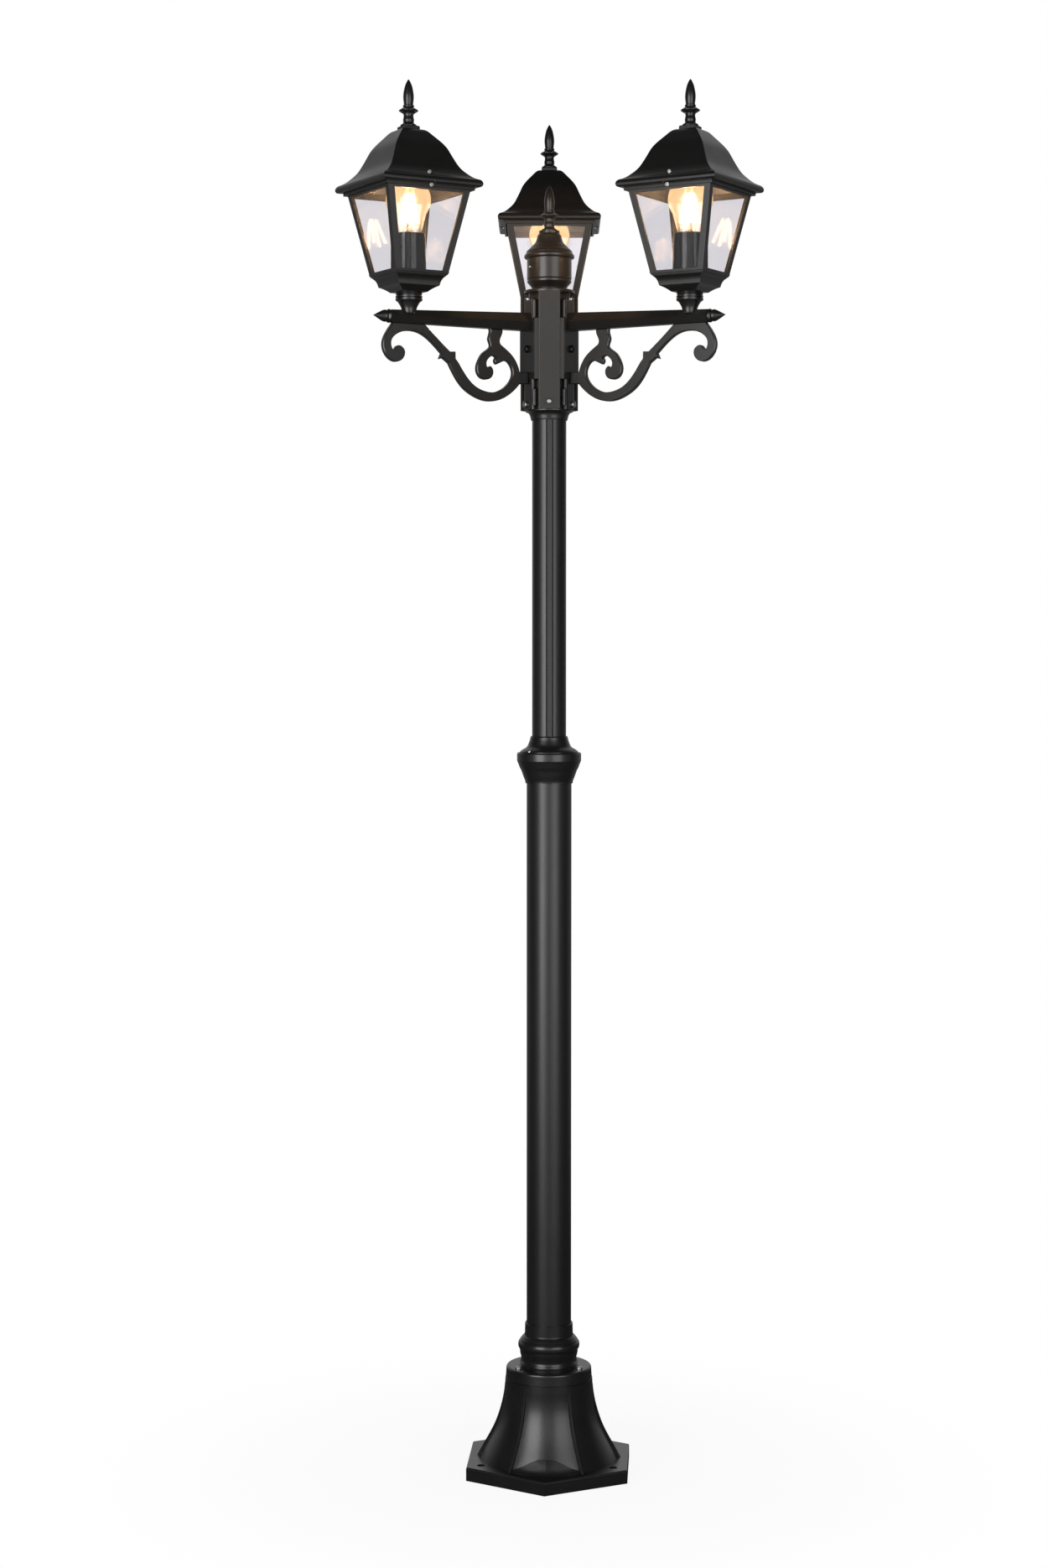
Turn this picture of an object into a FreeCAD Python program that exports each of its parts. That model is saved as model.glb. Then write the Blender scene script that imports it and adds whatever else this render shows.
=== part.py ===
import FreeCAD, Part
import math
import os

os.makedirs("parts", exist_ok=True)

Vector = FreeCAD.Vector
ORIGIN = Vector(0, 0, 0)
UP = Vector(0, 0, 1)
OUTWARD = Vector(1, 0, 0)
SIDEWAYS = Vector(0, 1, 0)

# A garden lamp post with three lantern heads. Millimetres, +Z up. The origin is on the pole's
# axis, on the ground. -Y is the front. Each head is drawn once on an arm that runs along +X,
# then turned about the pole to its own azimuth.

# ---------------------------------------------------------------- driving dimensions

HEADS = {"left": 210.0, "right": 330.0, "back": 90.0}
FRONT = 270.0           # azimuth of the side towards -Y
THIRDS = (0.0, 120.0, 240.0)
QUARTERS = (0.0, 90.0, 180.0, 270.0)

fit = 0.1               # radial room between a tube and its socket
screw_fit = 0.15        # radial room between a screw and its hole
seat_gap = 0.3          # room between faces that only guide each other

# base casting: hexagonal foot plate and a six-panelled bell
base_turn = -2.7        # the casting stands turned by this against the arms, degrees
plate_corner_r = 131.4
plate_height = 19.0
plate_edge = 2.5
bolt_circle_r = 108.0
bolt_hole_r = 5.75
bell_height = 132.0
bell_panels = 6
panel_flatness = 0.02   # how far a panel is drawn in at its foot: 0 is round, 0.134 is flat
BELL_CORNERS = [        # height above the plate, radius at a panel's edge, stand of its rib
    (0.0, 98.0, 4.6),
    (26.0, 84.5, 3.5),
    (45.6, 74.8, 3.0),
    (67.5, 67.4, 2.5),
    (89.0, 63.6, 1.2),
    (106.0, 62.5, 0.2),
]
FOOT_BLEND = [          # sweep of every other panel onto the plate: height, edge, middle radius
    (0.0, 103.0, 101.5),
    (2.5, 98.9, 97.6),
    (6.5, 95.8, 94.4),
    (12.0, 92.4, 90.9),
    (19.0, 87.6, 86.2),
]
rib_width = 3.6
ring_r = 60.6
ring_height = 15.8
ring_edge = 3.0
groove_depth = 1.6
groove_height = 2.0
bell_wall = 6.0
web_thickness = 8.0
socket_depth = 14.0
base_screw_r = 50.0     # radius of the circle the three ledge screws stand on
base_screw_length = 12.0

# pole tubes
lower_tube_r = 31.75
lower_tube_length = 864.0
upper_tube_r = 24.0
upper_tube_length = 535.0
tube_wall = 2.0
flute_lands = 5         # narrow lands along the upper tube, each between two fine grooves
flute_land_width = 7.0
flute_groove = 1.4
flute_depth = 0.9
flute_turn = 1.5        # first land, turned from the front, degrees

# collar on top of the bell: radius against height above the bell
COLLAR_FOOT = [(42.0, 0.0), (42.2, 1.6), (40.9, 2.2), (40.9, 3.2), (41.6, 3.8), (40.8, 5.6)]
COLLAR_WAIST = [(39.5, 9.0), (40.2, 15.0), (41.2, 19.6), (41.4, 22.6)]
COLLAR_LOW_GROOVE = [(40.4, 23.0), (40.4, 24.2), (42.2, 24.8)]
COLLAR_BEAD = [(43.5, 27.4), (43.7, 30.4), (43.2, 33.6), (42.2, 35.4)]
COLLAR_HIGH_GROOVE = [(40.7, 35.8), (40.7, 37.0), (41.0, 37.4)]
COLLAR_THROAT = [(38.6, 40.4), (36.9, 42.4), (35.6, 43.4)]
COLLAR_TOP = [(34.5, 43.6), (34.5, 44.8), (34.3, 46.5), (34.0, 60.5), (33.0, 62.0)]

# two-part collar between the tubes
cup_skirt = 18.0        # how far the cup reaches down over the lower tube
ledge_thickness = 4.0
cup_pocket_depth = 6.5
ring_flange_r = 41.2
CUP_SIDE = [(34.4, 4.6), (36.3, 9.3), (37.9, 14.0), (39.7, 18.8)]
CUP_STEP = [(42.1, 23.6), (43.8, 28.3), (45.3, 31.8)]
cup_rim_r = 45.4
cup_height = 43.5
ring_flange_rise = 0.8  # how far the ring's flange stands above the cup's rim
RING_SLOPE = [(38.8, 9.8), (31.2, 15.0), (28.9, 19.8), (27.4, 24.2), (26.6, 27.6)]
mid_ring_height = 29.5
ring_top_r = 25.8
mid_screw_r = 38.2
mid_screw_turn = 105.0
spot_face_room = 0.5

# hub casting
hub_socket_depth = 33.0
hub_height = 163.0
hub_bore_r = 20.0
hub_core_r = 29.0
saddle_width = 24.0     # upright bar behind each arm
saddle_reach = 34.5
saddle_height = 153.0
saddle_round = 4.0
lug_r = 4.2             # round lugs between each saddle and the strips beside it
lug_reach = 31.0
lug_turn = 19.0         # from the saddle's middle, degrees
LUG_LEVELS = [(3.0, 30.5), (125.0, 154.0)]
hub_hex_reach = 35.7    # flat-to-axis distance of the hexagonal middle
hub_hex_bottom = 41.5   # above the hub's foot
hub_hex_top = 125.5
strip_width = 30.0
strip_thickness = 4.5
strip_seat = 34.0       # axis to the strip's back
strip_pocket = (15.0, 9.0, 1.6)
strip_screw_rise = 10.0
strip_screw_length = 9.0
HUB_RING_FLARE = [(26.6, 4.0), (28.2, 8.6), (32.4, 11.4)]
hub_ring_height = 14.0
hub_ring_top_r = 33.7
hub_ring_foot_r = 25.4
saddle_screw_rise = 7.5 # zinc screw at the foot of each saddle, above the hub's foot
saddle_screw_length = 7.0
saddle_screw_shift = 6.5
top_screw_reach = 30.5  # zinc screw that points down into each saddle's top
top_screw_length = 9.0
hub_bolt_rise = 84.0
hub_bolt_length = 9.0

# cover on the hub
cover_plate_r = 35.3
cover_plate_thickness = 4.0
cover_neck_r = 24.0
COVER_FLARE = [(24.4, 7.0), (27.6, 11.6), (30.0, 14.4)]     # height above the hub
cover_seat_r = 31.0
cover_socket_height = 19.5  # hub top to the cap's seat
cover_spigot_r = 27.8
cover_spigot_height = 22.5
cover_web = 3.5
cap_barrel_r = 31.3
cap_barrel_height = 28.5
CAP_FLARE = [(34.0, 29.1), (35.2, 30.5), (35.2, 33.1), (33.8, 34.7), (32.6, 36.5)]
cap_height = 67.5
cap_wall = 3.2
cap_ceiling = 58.5      # inside height of the cap
CAP_DOME = [(31.5, 39.5), (27.6, 43.0), (24.6, 46.2), (20.6, 50.2), (18.4, 54.5), (16.9, 60.5)]
CAP_DOME_INSIDE = [(21.0, 43.0), (15.6, 51.0), (12.6, 57.0)]
cap_top_r = 14.4
cap_screw_rise = 16.2

# arms
arm_rise = 109.0        # hub foot to the arm's underside
arm_root_height = 24.9
arm_end_height = 17.0
arm_overrun = 29.0      # how far an arm runs on past its lantern's axis
arm_bore_r = 4.5
arm_bore_rise = 9.5
arm_riser_r = 4.2
TIP_BUD = [(8.2, 7.4), (6.8, 12.6), (3.2, 19.6), (0.5, 25.0)]
tip_bead_r = 9.4
tip_stud_r = 4.0
tip_stud_length = 9.0
head_reach = 221.0      # pole axis to lantern axis

# lantern neck: radius against height above its lower edge
neck_foot_drop = 5.0    # how far the foot reaches down over the arm's flanks
neck_foot_r = 10.4
NECK_CUP = [(11.4, 9.0), (13.2, 12.5), (15.4, 15.9)]
NECK_RINGS = [(18.5, 18.0), (18.5, 20.4), (16.4, 20.9), (16.4, 21.5), (18.4, 22.0), (18.4, 23.8),
              (16.6, 24.4), (16.6, 25.1), (18.2, 25.7)]
neck_top_r = 17.6
lantern_rise = 42.0     # arm's underside to the lantern's foot

# lantern frame, half widths of a square section against height above the lantern's foot
frame_foot_half = 19.0
FRAME_FOOT = [(26.5, 5.6), (31.0, 7.8)]
FRAME_STEP = [(31.6, 10.4)]
FRAME_COVE = [(32.0, 12.0), (34.0, 16.6), (37.8, 20.4)]
frame_bead_half = 40.4
FRAME_BEAD = [(37.8, 21.2), (39.4, 21.6), (39.4, 23.0), (frame_bead_half, 23.6)]
window_bottom = 27.0
window_height = 103.6
rail_height = 8.9
frame_half_low = 40.6   # half width at the window's foot
frame_half_high = 61.4  # half width at the window's head
post_width = 9.0
frame_wall = 3.4
pane_thickness = 3.0
pane_lap = 2.0          # how far a pane runs behind a post
floor_thickness = 4.0
holder_hole_r = 7.0

# roof, half widths against height above the frame's top
skirt_depth = 6.0
skirt_half = 66.6
skirt_clearance = 0.5
lip_half = 75.0
lip_bottom = -1.8
lip_height = 9.0
ROOF_SLOPE = [(66.6, 10.6), (58.0, 17.8), (52.2, 24.6), (48.4, 31.4), (45.4, 37.8), (42.4, 44.6),
              (39.4, 51.4), (35.0, 58.4), (29.8, 64.8), (23.8, 71.6), (17.0, 78.2), (13.2, 79.5)]
roof_wall = 3.0
roof_plate_half = 11.4
roof_plate_rise = 79.5
roof_height = 84.5
slope_screw_rise = 14.6
slope_screw_length = 6.0
slope_screw_stand = 2.2 # how far its head stands outside the slope there
skirt_screw_rise = -3.2

# spear finial: radius against height above its foot
FINIAL_FOOT = [(11.2, 0.0), (11.0, 1.6), (8.4, 3.4), (7.3, 5.4), (7.6, 8.3), (7.1, 11.2), (7.0, 15.8)]
FINIAL_RINGS = [(7.4, 16.8), (12.2, 19.8), (13.2, 20.6), (13.2, 21.4), (11.8, 22.4), (8.4, 24.6),
                (7.0, 25.4), (7.6, 26.4), (7.6, 28.0), (6.4, 28.8)]
FINIAL_BUD = [(6.6, 31.6), (7.2, 37.0), (7.1, 43.0), (6.2, 49.0), (4.7, 55.0), (2.5, 60.0)]
finial_height = 63.0
finial_tip_r = 0.6
finial_stud_r = 5.0
finial_stud_length = 6.5

# lampholder and bulb
holder_r = 23.0
holder_height = 54.0
holder_mouth_r = 18.5
holder_mouth_depth = 6.0
cap_rise = 25.0         # lantern floor to the foot of the bulb
bulb_cap_r = 13.1
bulb_cap_height = 25.0
bulb_cap_room = 0.4
thread_pitch = 4.4
thread_depth = 0.7
bulb_contact_r = 4.5
bulb_contact_height = 3.0
bulb_length = 105.0
bulb_r = 30.0
bulb_wall = 1.0
bulb_neck_r = 14.2
BULB_NECK = [(16.9, 29.0), (18.2, 36.0), (20.6, 46.0)]
bulb_join_angle = 38.0
stem_r = 5.0
stem_height = 30.0

# scroll bracket, cut from flat plate. Each point is the distance out from the hub's middle and
# the drop below the arm. Every stretch starts where the one before it ends. The outline is drawn
# for an arm of scroll_drawn_length and stretches with the arm.
scroll_drawn_length = 214.3
scroll_thickness = 8.0
scroll_edge = 1.0       # chamfer along both faces
SCROLL_START = (211.3, 0.0)
SCROLL_HOOK_OUT = [(219.5, 11.5), (226.4, 29.0), (221.5, 44.6), (207.0, 53.0), (194.8, 46.5),
                   (193.6, 36.0), (201.8, 30.4), (207.2, 33.6)]
SCROLL_HOOK_IN = [(210.4, 36.6), (213.9, 29.0), (207.5, 16.8), (188.5, 10.2), (169.0, 13.0),
                  (154.5, 21.8), (136.6, 38.2)]
SCROLL_KNOT_LOW = [(139.9, 46.0), (134.4, 44.4), (125.3, 51.0)]
SCROLL_BELLY = [(116.8, 66.0), (103.4, 83.1), (86.7, 94.1), (68.1, 100.0), (47.9, 98.4),
                (30.8, 90.2), (13.7, 74.6)]
scroll_tab_low = 73.6
scroll_tab_high = 57.0
SCROLL_RING_OUT = [(13.7, 57.6), (17.2, 47.6), (24.6, 36.4), (36.4, 26.4), (43.6, 21.3)]
SCROLL_STEM_IN = [(45.2, 15.5), (42.2, 8.0), (41.3, 0.0)]
scroll_stem_out = 60.6
SCROLL_CURL_OUT = [(60.4, 6.0), (62.4, 15.0), (60.0, 23.6), (69.6, 32.4), (77.4, 42.6), (81.4, 56.0),
                   (77.0, 67.0), (67.0, 70.6), (57.8, 66.4), (55.6, 58.0), (60.2, 51.6)]
SCROLL_CURL_IN = [(64.6, 53.4), (66.4, 49.0), (63.2, 41.4), (56.2, 37.4), (51.4, 39.6)]
SCROLL_LEAF = [(53.2, 44.6), (50.5, 49.0)]
SCROLL_RING_IN = [(41.0, 44.6), (35.6, 43.4), (27.0, 50.8), (24.8, 61.7), (30.8, 73.9), (42.7, 83.3),
                  (56.3, 87.7), (68.1, 86.7), (83.3, 80.8), (98.4, 66.7), (110.1, 49.7)]
SCROLL_KNOT_HIGH = [(114.6, 44.4), (114.9, 34.6), (123.4, 35.0)]
SCROLL_BACK = [(141.7, 19.2), (162.3, 0.0)]

# fasteners: head radius, head height, shank radius
PAN_SCREW = (4.6, 3.2, 2.4)
SMALL_SCREW = (3.2, 2.4, 1.6)
BLACK_BOLT = (5.2, 4.0, 2.9)

# wiring
cable_r = 3.5
lead_r = 2.5
lead_bend = 8.0
lead_circle_r = 12.0    # where the head leads rise inside the hub
terminal_r = 18.5
terminal_height = 12.0
terminal_stand = 7.5
grommet_hole_r = 9.0
grommet_flange_r = 12.0
grommet_flange = 2.0
connector_size = (40.0, 14.0, 14.0)
connector_drop = 10.0
connector_post_r = 3.0
connector_hole_r = 2.2
connector_pitch = 8.0
terminal_foot_r = 2.5
terminal_pit_r = 2.0
terminal_pit_depth = 4.0

# ---------------------------------------------------------------- levels worked out from them

base_top = plate_height + bell_height
lower_tube_foot = base_top - socket_depth
lower_tube_top = lower_tube_foot + lower_tube_length
cup_foot = lower_tube_top - cup_skirt
upper_tube_foot = lower_tube_top + ledge_thickness
upper_tube_top = upper_tube_foot + upper_tube_length
hub_foot = upper_tube_top - hub_socket_depth
hub_top = hub_foot + hub_height
cap_seat = hub_top + cover_socket_height
cap_top = cap_seat + cap_height
arm_under = hub_foot + arm_rise
arm_end = head_reach + arm_overrun
lantern_foot = arm_under + lantern_rise
floor_top = lantern_foot + window_bottom - 2.0
window_top = window_bottom + window_height
frame_top = lantern_foot + window_top + rail_height
roof_top = frame_top + roof_height
bulb_foot = floor_top + cap_rise


# ---------------------------------------------------------------- drawing helpers

def upright(a, b):
    """A point of a profile: distance out along +X, height along +Z."""
    return Vector(a, 0, b)


def curve_through(points):
    curve = Part.BSplineCurve()
    curve.interpolate(points)
    return curve.toShape()


def edges_of(start, spans):
    """Edges from start along spans. A point is a straight run, a list a smooth curve."""
    edges = []
    here = upright(*start)
    for span in spans:
        if isinstance(span, list):
            points = [here] + [upright(*point) for point in span]
            edges.append(curve_through(points))
        else:
            points = [here, upright(*span)]
            edges.append(Part.makeLine(*points))
        here = points[-1]
    return edges, here


def profile_face(start, *spans):
    """A flat face whose outline closes with a straight run back to its start."""
    edges, end = edges_of(start, spans)
    edges.append(Part.makeLine(end, upright(*start)))
    return Part.Face(Part.Wire(edges))


def turned(start, *spans):
    """A solid of revolution about the pole's axis, from (radius, height) points."""
    return profile_face(start, *spans).revolve(ORIGIN, UP, 360)


def squared(start, *spans):
    """A solid whose every level is a square, from (half width, height) points up one side."""
    edges, end = edges_of(start, spans)
    edges.append(Part.makeLine(end, upright(0, end.z)))
    edges.append(Part.makeLine(upright(0, end.z), upright(0, start[1])))
    edges.append(Part.makeLine(upright(0, start[1]), upright(*start)))
    reach = 2 * max(edge.BoundBox.XMax for edge in edges)
    half = Part.Face(Part.Wire(edges))
    half.translate(Vector(0, -reach, 0))
    slab = half.extrude(Vector(0, 2 * reach, 0))
    corners = [Vector(0, 0, 0), Vector(reach, -reach, 0), Vector(reach, reach, 0), Vector(0, 0, 0)]
    wedge = Part.Face(Part.makePolygon(corners)).extrude(UP * (end.z + reach))
    return joined(around(slab.common(wedge), QUARTERS))


def lifted(points, base):
    """The same (radius, height) points, with their heights counted from base."""
    return [(radius, base + height) for radius, height in points]


def rod(radius, foot, top, x=0.0, y=0.0):
    return Part.makeCylinder(radius, top - foot, Vector(x, y, foot))


def pipe(outer_r, inner_r, foot, top):
    return rod(outer_r, foot, top).cut(rod(inner_r, foot, top))


def block(x_range, y_range, z_range):
    corner = Vector(x_range[0], y_range[0], z_range[0])
    size = (x_range[1] - x_range[0], y_range[1] - y_range[0], z_range[1] - z_range[0])
    return Part.makeBox(*size, corner)


def spun(shape, azimuth):
    """A copy of the shape turned about the pole."""
    copy = shape.copy()
    copy.rotate(ORIGIN, UP, azimuth)
    return copy


def around(shape, azimuths):
    return [spun(shape, azimuth) for azimuth in azimuths]


def joined(shapes):
    """One solid from shapes that touch or overlap."""
    first, *rest = shapes
    if not rest:
        return first
    return first.fuse(rest).removeSplitter()


def upright_screw(kind, seat, length, x=0.0, y=0.0):
    """A screw that points down, its head standing on the height seat."""
    head_r, head_height, shank_r = kind
    head = rod(head_r, seat, seat + head_height, x, y)
    rims = [edge for edge in head.Edges if edge.BoundBox.ZMin > seat + head_height / 2]
    head = head.makeFillet(head_height * 0.45, rims)
    drive = block((x - head_r * 0.55, x + head_r * 0.55), (y - 0.4, y + 0.4),
                  (seat + head_height * 0.6, seat + head_height + 1))
    cross = block((x - 0.4, x + 0.4), (y - head_r * 0.55, y + head_r * 0.55),
                  (seat + head_height * 0.6, seat + head_height + 1))
    return head.cut([drive, cross]).fuse(rod(shank_r, seat - length, seat, x, y))


def radial_screw(kind, reach, length, rise, shift=0.0):
    """A screw that points at the pole's axis from +X, its head seated at the distance reach."""
    screw = upright_screw(kind, 0.0, length)
    screw.rotate(ORIGIN, SIDEWAYS, 90)
    screw.translate(Vector(reach, shift, rise))
    return screw


def radial_hole(radius, near, far, rise):
    return Part.makeCylinder(radius, far - near, Vector(near, 0, rise), OUTWARD)


def hexagon_prism(reach, foot, top):
    """A hexagon with a flat towards +X, whose flats lie at the distance reach."""
    corner_r = reach / math.cos(math.radians(30))
    corners = []
    for step in range(7):
        angle = math.radians(30 + 60 * step)
        corners.append(Vector(corner_r * math.cos(angle), corner_r * math.sin(angle), foot))
    return Part.Face(Part.makePolygon(corners)).extrude(Vector(0, 0, top - foot))


# ---------------------------------------------------------------- base

def panel_middle_r(height, corner_r):
    """Distance from the axis to the middle of a bell panel, drawn in most at the foot."""
    share = 1 - height / BELL_CORNERS[-1][0]
    return corner_r * (1 - panel_flatness * share)


def bell_section(height, corner_r, middle_r):
    """Six arcs: a circle near the top of the bell, slightly flatter panels at its foot."""
    half_turn = 180 / bell_panels
    edges = []
    for panel in range(bell_panels):
        angles = [half_turn * (2 * panel + step) for step in (0, 1, 2)]
        radii = (corner_r, middle_r, corner_r)
        points = []
        for angle, radius in zip(angles, radii):
            turn = math.radians(angle)
            points.append(Vector(radius * math.cos(turn), radius * math.sin(turn), height))
        edges.append(Part.Arc(*points).toShape())
    return Part.Wire(edges)


def foot_blends():
    """The sweeps by which three of the panels run out onto the plate."""
    sections = [bell_section(*level) for level in FOOT_BLEND]
    sweep = Part.makeLoft(sections, True, False)
    half_turn = math.radians(180 / bell_panels)
    reach = 2 * FOOT_BLEND[0][1]
    side = reach * math.tan(half_turn)
    wedge = Part.Face(Part.makePolygon([ORIGIN, Vector(reach, -side, 0), Vector(reach, side, 0), ORIGIN]))
    panel = sweep.common(wedge.extrude(UP * FOOT_BLEND[-1][0]))
    middle = 180 / bell_panels
    return around(panel, [middle + turn for turn in THIRDS])


def bell_rib():
    """A thin fin along a panel's edge, standing on the plate."""
    crest = [(radius + stand, height) for height, radius, stand in BELL_CORNERS]
    inside = [(radius - bell_wall / 2, height) for height, radius, stand in BELL_CORNERS]
    inside.reverse()
    face = profile_face(crest[0], crest[1:], inside[0], inside[1:])
    face.translate(Vector(0, -rib_width / 2, 0))
    return face.extrude(Vector(0, rib_width, 0))


def base_casting():
    outline = hexagon_prism(plate_corner_r * math.cos(math.radians(30)), 0, plate_height)
    outline.rotate(ORIGIN, UP, 30)
    upper_edges = [edge for edge in outline.Edges if edge.BoundBox.ZMin > plate_height / 2]
    plate = outline.makeFillet(plate_edge, upper_edges)

    sections = []
    for height, corner_r, stand in BELL_CORNERS:
        sections.append(bell_section(height, corner_r, panel_middle_r(height, corner_r)))
    bell = Part.makeLoft(sections, True, False)
    ribs = around(bell_rib(), [60 * step for step in range(bell_panels)])
    neck_height, neck_r, neck_stand = BELL_CORNERS[-1]
    ring_foot = bell_height - ring_height
    ring = turned((0, neck_height), (neck_r, neck_height),
                  (neck_r - 0.4, ring_foot - groove_height),
                  (neck_r - groove_depth, ring_foot - groove_height), (neck_r - groove_depth, ring_foot),
                  (ring_r + 0.8, ring_foot), (ring_r, bell_height - ring_edge),
                  [(ring_r - ring_edge * 0.3, bell_height - ring_edge * 0.3),
                   (ring_r - ring_edge, bell_height)], (0, bell_height))
    body = joined([bell, ring] + foot_blends() + ribs)
    body.translate(Vector(0, 0, plate_height))
    body.rotate(ORIGIN, UP, 180 / bell_panels)
    casting = plate.fuse(body).removeSplitter()

    web_foot = lower_tube_foot - web_thickness
    inside = []
    for height, corner_r, stand in BELL_CORNERS:
        inside.append((panel_middle_r(height, corner_r) - bell_wall, plate_height + height))
    cavity = turned((0, 0), (inside[0][0] + 3, 0), *inside, (inside[-1][0] - 2, web_foot), (0, web_foot))
    cuts = [cavity, rod(lower_tube_r + fit, lower_tube_foot, base_top),
            rod(grommet_hole_r, web_foot, lower_tube_foot)]
    bolt_hole = rod(bolt_hole_r, 0, plate_height, bolt_circle_r)
    cuts += around(bolt_hole, THIRDS)
    casting = casting.cut(cuts)
    casting.rotate(ORIGIN, UP, 90 + base_turn)
    screw_hole = rod(PAN_SCREW[2] + screw_fit, base_top - base_screw_length - 1, base_top, base_screw_r)
    return casting.cut(around(screw_hole, HEADS.values()))


def base_screws():
    screw = upright_screw(PAN_SCREW, base_top, base_screw_length, base_screw_r)
    return around(screw, HEADS.values())


def base_collar():
    foot = base_top
    bore_r = lower_tube_r + fit
    return turned((bore_r, foot), *lifted(COLLAR_FOOT, foot), lifted(COLLAR_WAIST, foot),
                  *lifted(COLLAR_LOW_GROOVE, foot), lifted(COLLAR_BEAD, foot),
                  *lifted(COLLAR_HIGH_GROOVE, foot), lifted(COLLAR_THROAT, foot),
                  *lifted(COLLAR_TOP, foot), (bore_r, foot + COLLAR_TOP[-1][1]))


def cable_grommet():
    web_foot = lower_tube_foot - web_thickness
    bore_r = cable_r + fit
    waist_r = grommet_hole_r - fit
    low = web_foot - grommet_flange
    high = lower_tube_foot + grommet_flange
    return turned((bore_r, low), (grommet_flange_r - 1, low), (grommet_flange_r, low + 1),
                  (grommet_flange_r, web_foot), (waist_r, web_foot), (waist_r, lower_tube_foot),
                  (grommet_flange_r, lower_tube_foot), (grommet_flange_r, high - 1),
                  (grommet_flange_r - 1, high), (bore_r, high))


def supply_connector():
    """The terminal block under the base's web, on two posts, where the buried cable is joined."""
    length, depth, height = connector_size
    top = lower_tube_foot - web_thickness - connector_drop
    body = block((-length / 2, length / 2), (-depth / 2, depth / 2), (top - height, top))
    wire_holes = []
    for step in (-1, 0, 1):
        start = Vector(step * connector_pitch, -depth / 2 - 1, top - height / 2)
        hole = Part.makeCylinder(connector_hole_r, depth + 2, start, SIDEWAYS)
        wire_holes.append(hole)
    post_x = length / 2 - connector_post_r - 0.5
    posts = [rod(connector_post_r, top, top + connector_drop, side * post_x) for side in (-1, 1)]
    return joined([body.cut(wire_holes)] + posts)


def lower_tube():
    return pipe(lower_tube_r, lower_tube_r - tube_wall, lower_tube_foot, lower_tube_top)


# ---------------------------------------------------------------- middle of the pole

def mid_collar_cup():
    rim = cup_foot + cup_height
    pocket = rim - cup_pocket_depth
    pocket_r = ring_flange_r + seat_gap
    return turned((lower_tube_r + fit, cup_foot), (lower_tube_r + 1.7, cup_foot),
                  lifted(CUP_SIDE, cup_foot), lifted(CUP_STEP, cup_foot),
                  (cup_rim_r, cup_foot + CUP_STEP[-1][1] + 1.2), (cup_rim_r, rim - 2.0),
                  (cup_rim_r - 1.2, rim),
                  (pocket_r, rim), (pocket_r, pocket), (upper_tube_r + fit, pocket),
                  (upper_tube_r + fit, upper_tube_foot), (hub_bore_r, upper_tube_foot),
                  (hub_bore_r, lower_tube_top), (lower_tube_r + fit, lower_tube_top))


def mid_collar_ring():
    seat = cup_foot + cup_height - cup_pocket_depth
    bore_r = upper_tube_r + fit
    flange_top = seat + cup_pocket_depth + ring_flange_rise
    ring = turned((bore_r, seat), (ring_flange_r, seat), (ring_flange_r, flange_top),
                  lifted(RING_SLOPE, seat), (ring_top_r, seat + mid_ring_height),
                  (bore_r, seat + mid_ring_height))
    spot_face_r = SMALL_SCREW[0] + spot_face_room
    spot_face = rod(spot_face_r, flange_top, seat + mid_ring_height, mid_screw_r)
    hole = rod(SMALL_SCREW[2] + screw_fit, seat, flange_top, mid_screw_r)
    return ring.cut(around(spot_face, mid_screw_azimuths()) + around(hole, mid_screw_azimuths()))


def mid_screw_azimuths():
    return [mid_screw_turn + third for third in THIRDS]


def mid_collar_screws():
    seat = cup_foot + cup_height + ring_flange_rise
    screw = upright_screw(SMALL_SCREW, seat, cup_pocket_depth, mid_screw_r)
    return around(screw, mid_screw_azimuths())


def upper_tube():
    """The fluted tube: pairs of fine grooves run its whole length."""
    tube = pipe(upper_tube_r, upper_tube_r - tube_wall, upper_tube_foot, upper_tube_top)
    floor_r = upper_tube_r - flute_depth
    grooves = []
    for land in range(flute_lands):
        azimuth = FRONT + flute_turn + land * 360 / flute_lands
        for side in (-1, 1):
            edge = side * (flute_land_width + flute_groove) / 2
            floor = math.sqrt(floor_r ** 2 - edge ** 2)
            groove = block((floor, floor + 2), (edge - flute_groove / 2, edge + flute_groove / 2),
                           (upper_tube_foot, upper_tube_top))
            grooves.append(spun(groove, azimuth))
    return tube.cut(grooves)


# ---------------------------------------------------------------- hub

def hub_ring():
    foot = hub_foot - hub_ring_height
    bore_r = upper_tube_r + fit
    return turned((bore_r, foot), (hub_ring_foot_r, foot), lifted(HUB_RING_FLARE, foot),
                  (hub_ring_top_r, foot + HUB_RING_FLARE[-1][1] + 0.8), (hub_ring_top_r, hub_foot),
                  (bore_r, hub_foot))


def saddle_bar():
    """The upright bar behind an arm, its outer edges and its top rounded."""
    top = hub_foot + saddle_height
    bar = block((0, saddle_reach), (-saddle_width / 2, saddle_width / 2), (hub_foot, top))
    edges = []
    for edge in bar.Edges:
        box = edge.BoundBox
        if box.XMin > saddle_reach - 1 and box.ZMax > top - 1:
            edges.append(edge)
    return bar.makeFillet(saddle_round, edges)


def saddle_lugs():
    """Round-ended upright lugs on both sides of an arm's saddle."""
    lugs = []
    for low, high in LUG_LEVELS:
        lug = rod(lug_r, hub_foot + low, hub_foot + high, lug_reach)
        rims = [edge for edge in lug.Edges if edge.BoundBox.ZLength < 1]
        lug = lug.makeFillet(lug_r * 0.8, rims)
        lugs += around(lug, (-lug_turn, lug_turn))
    return lugs


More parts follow.
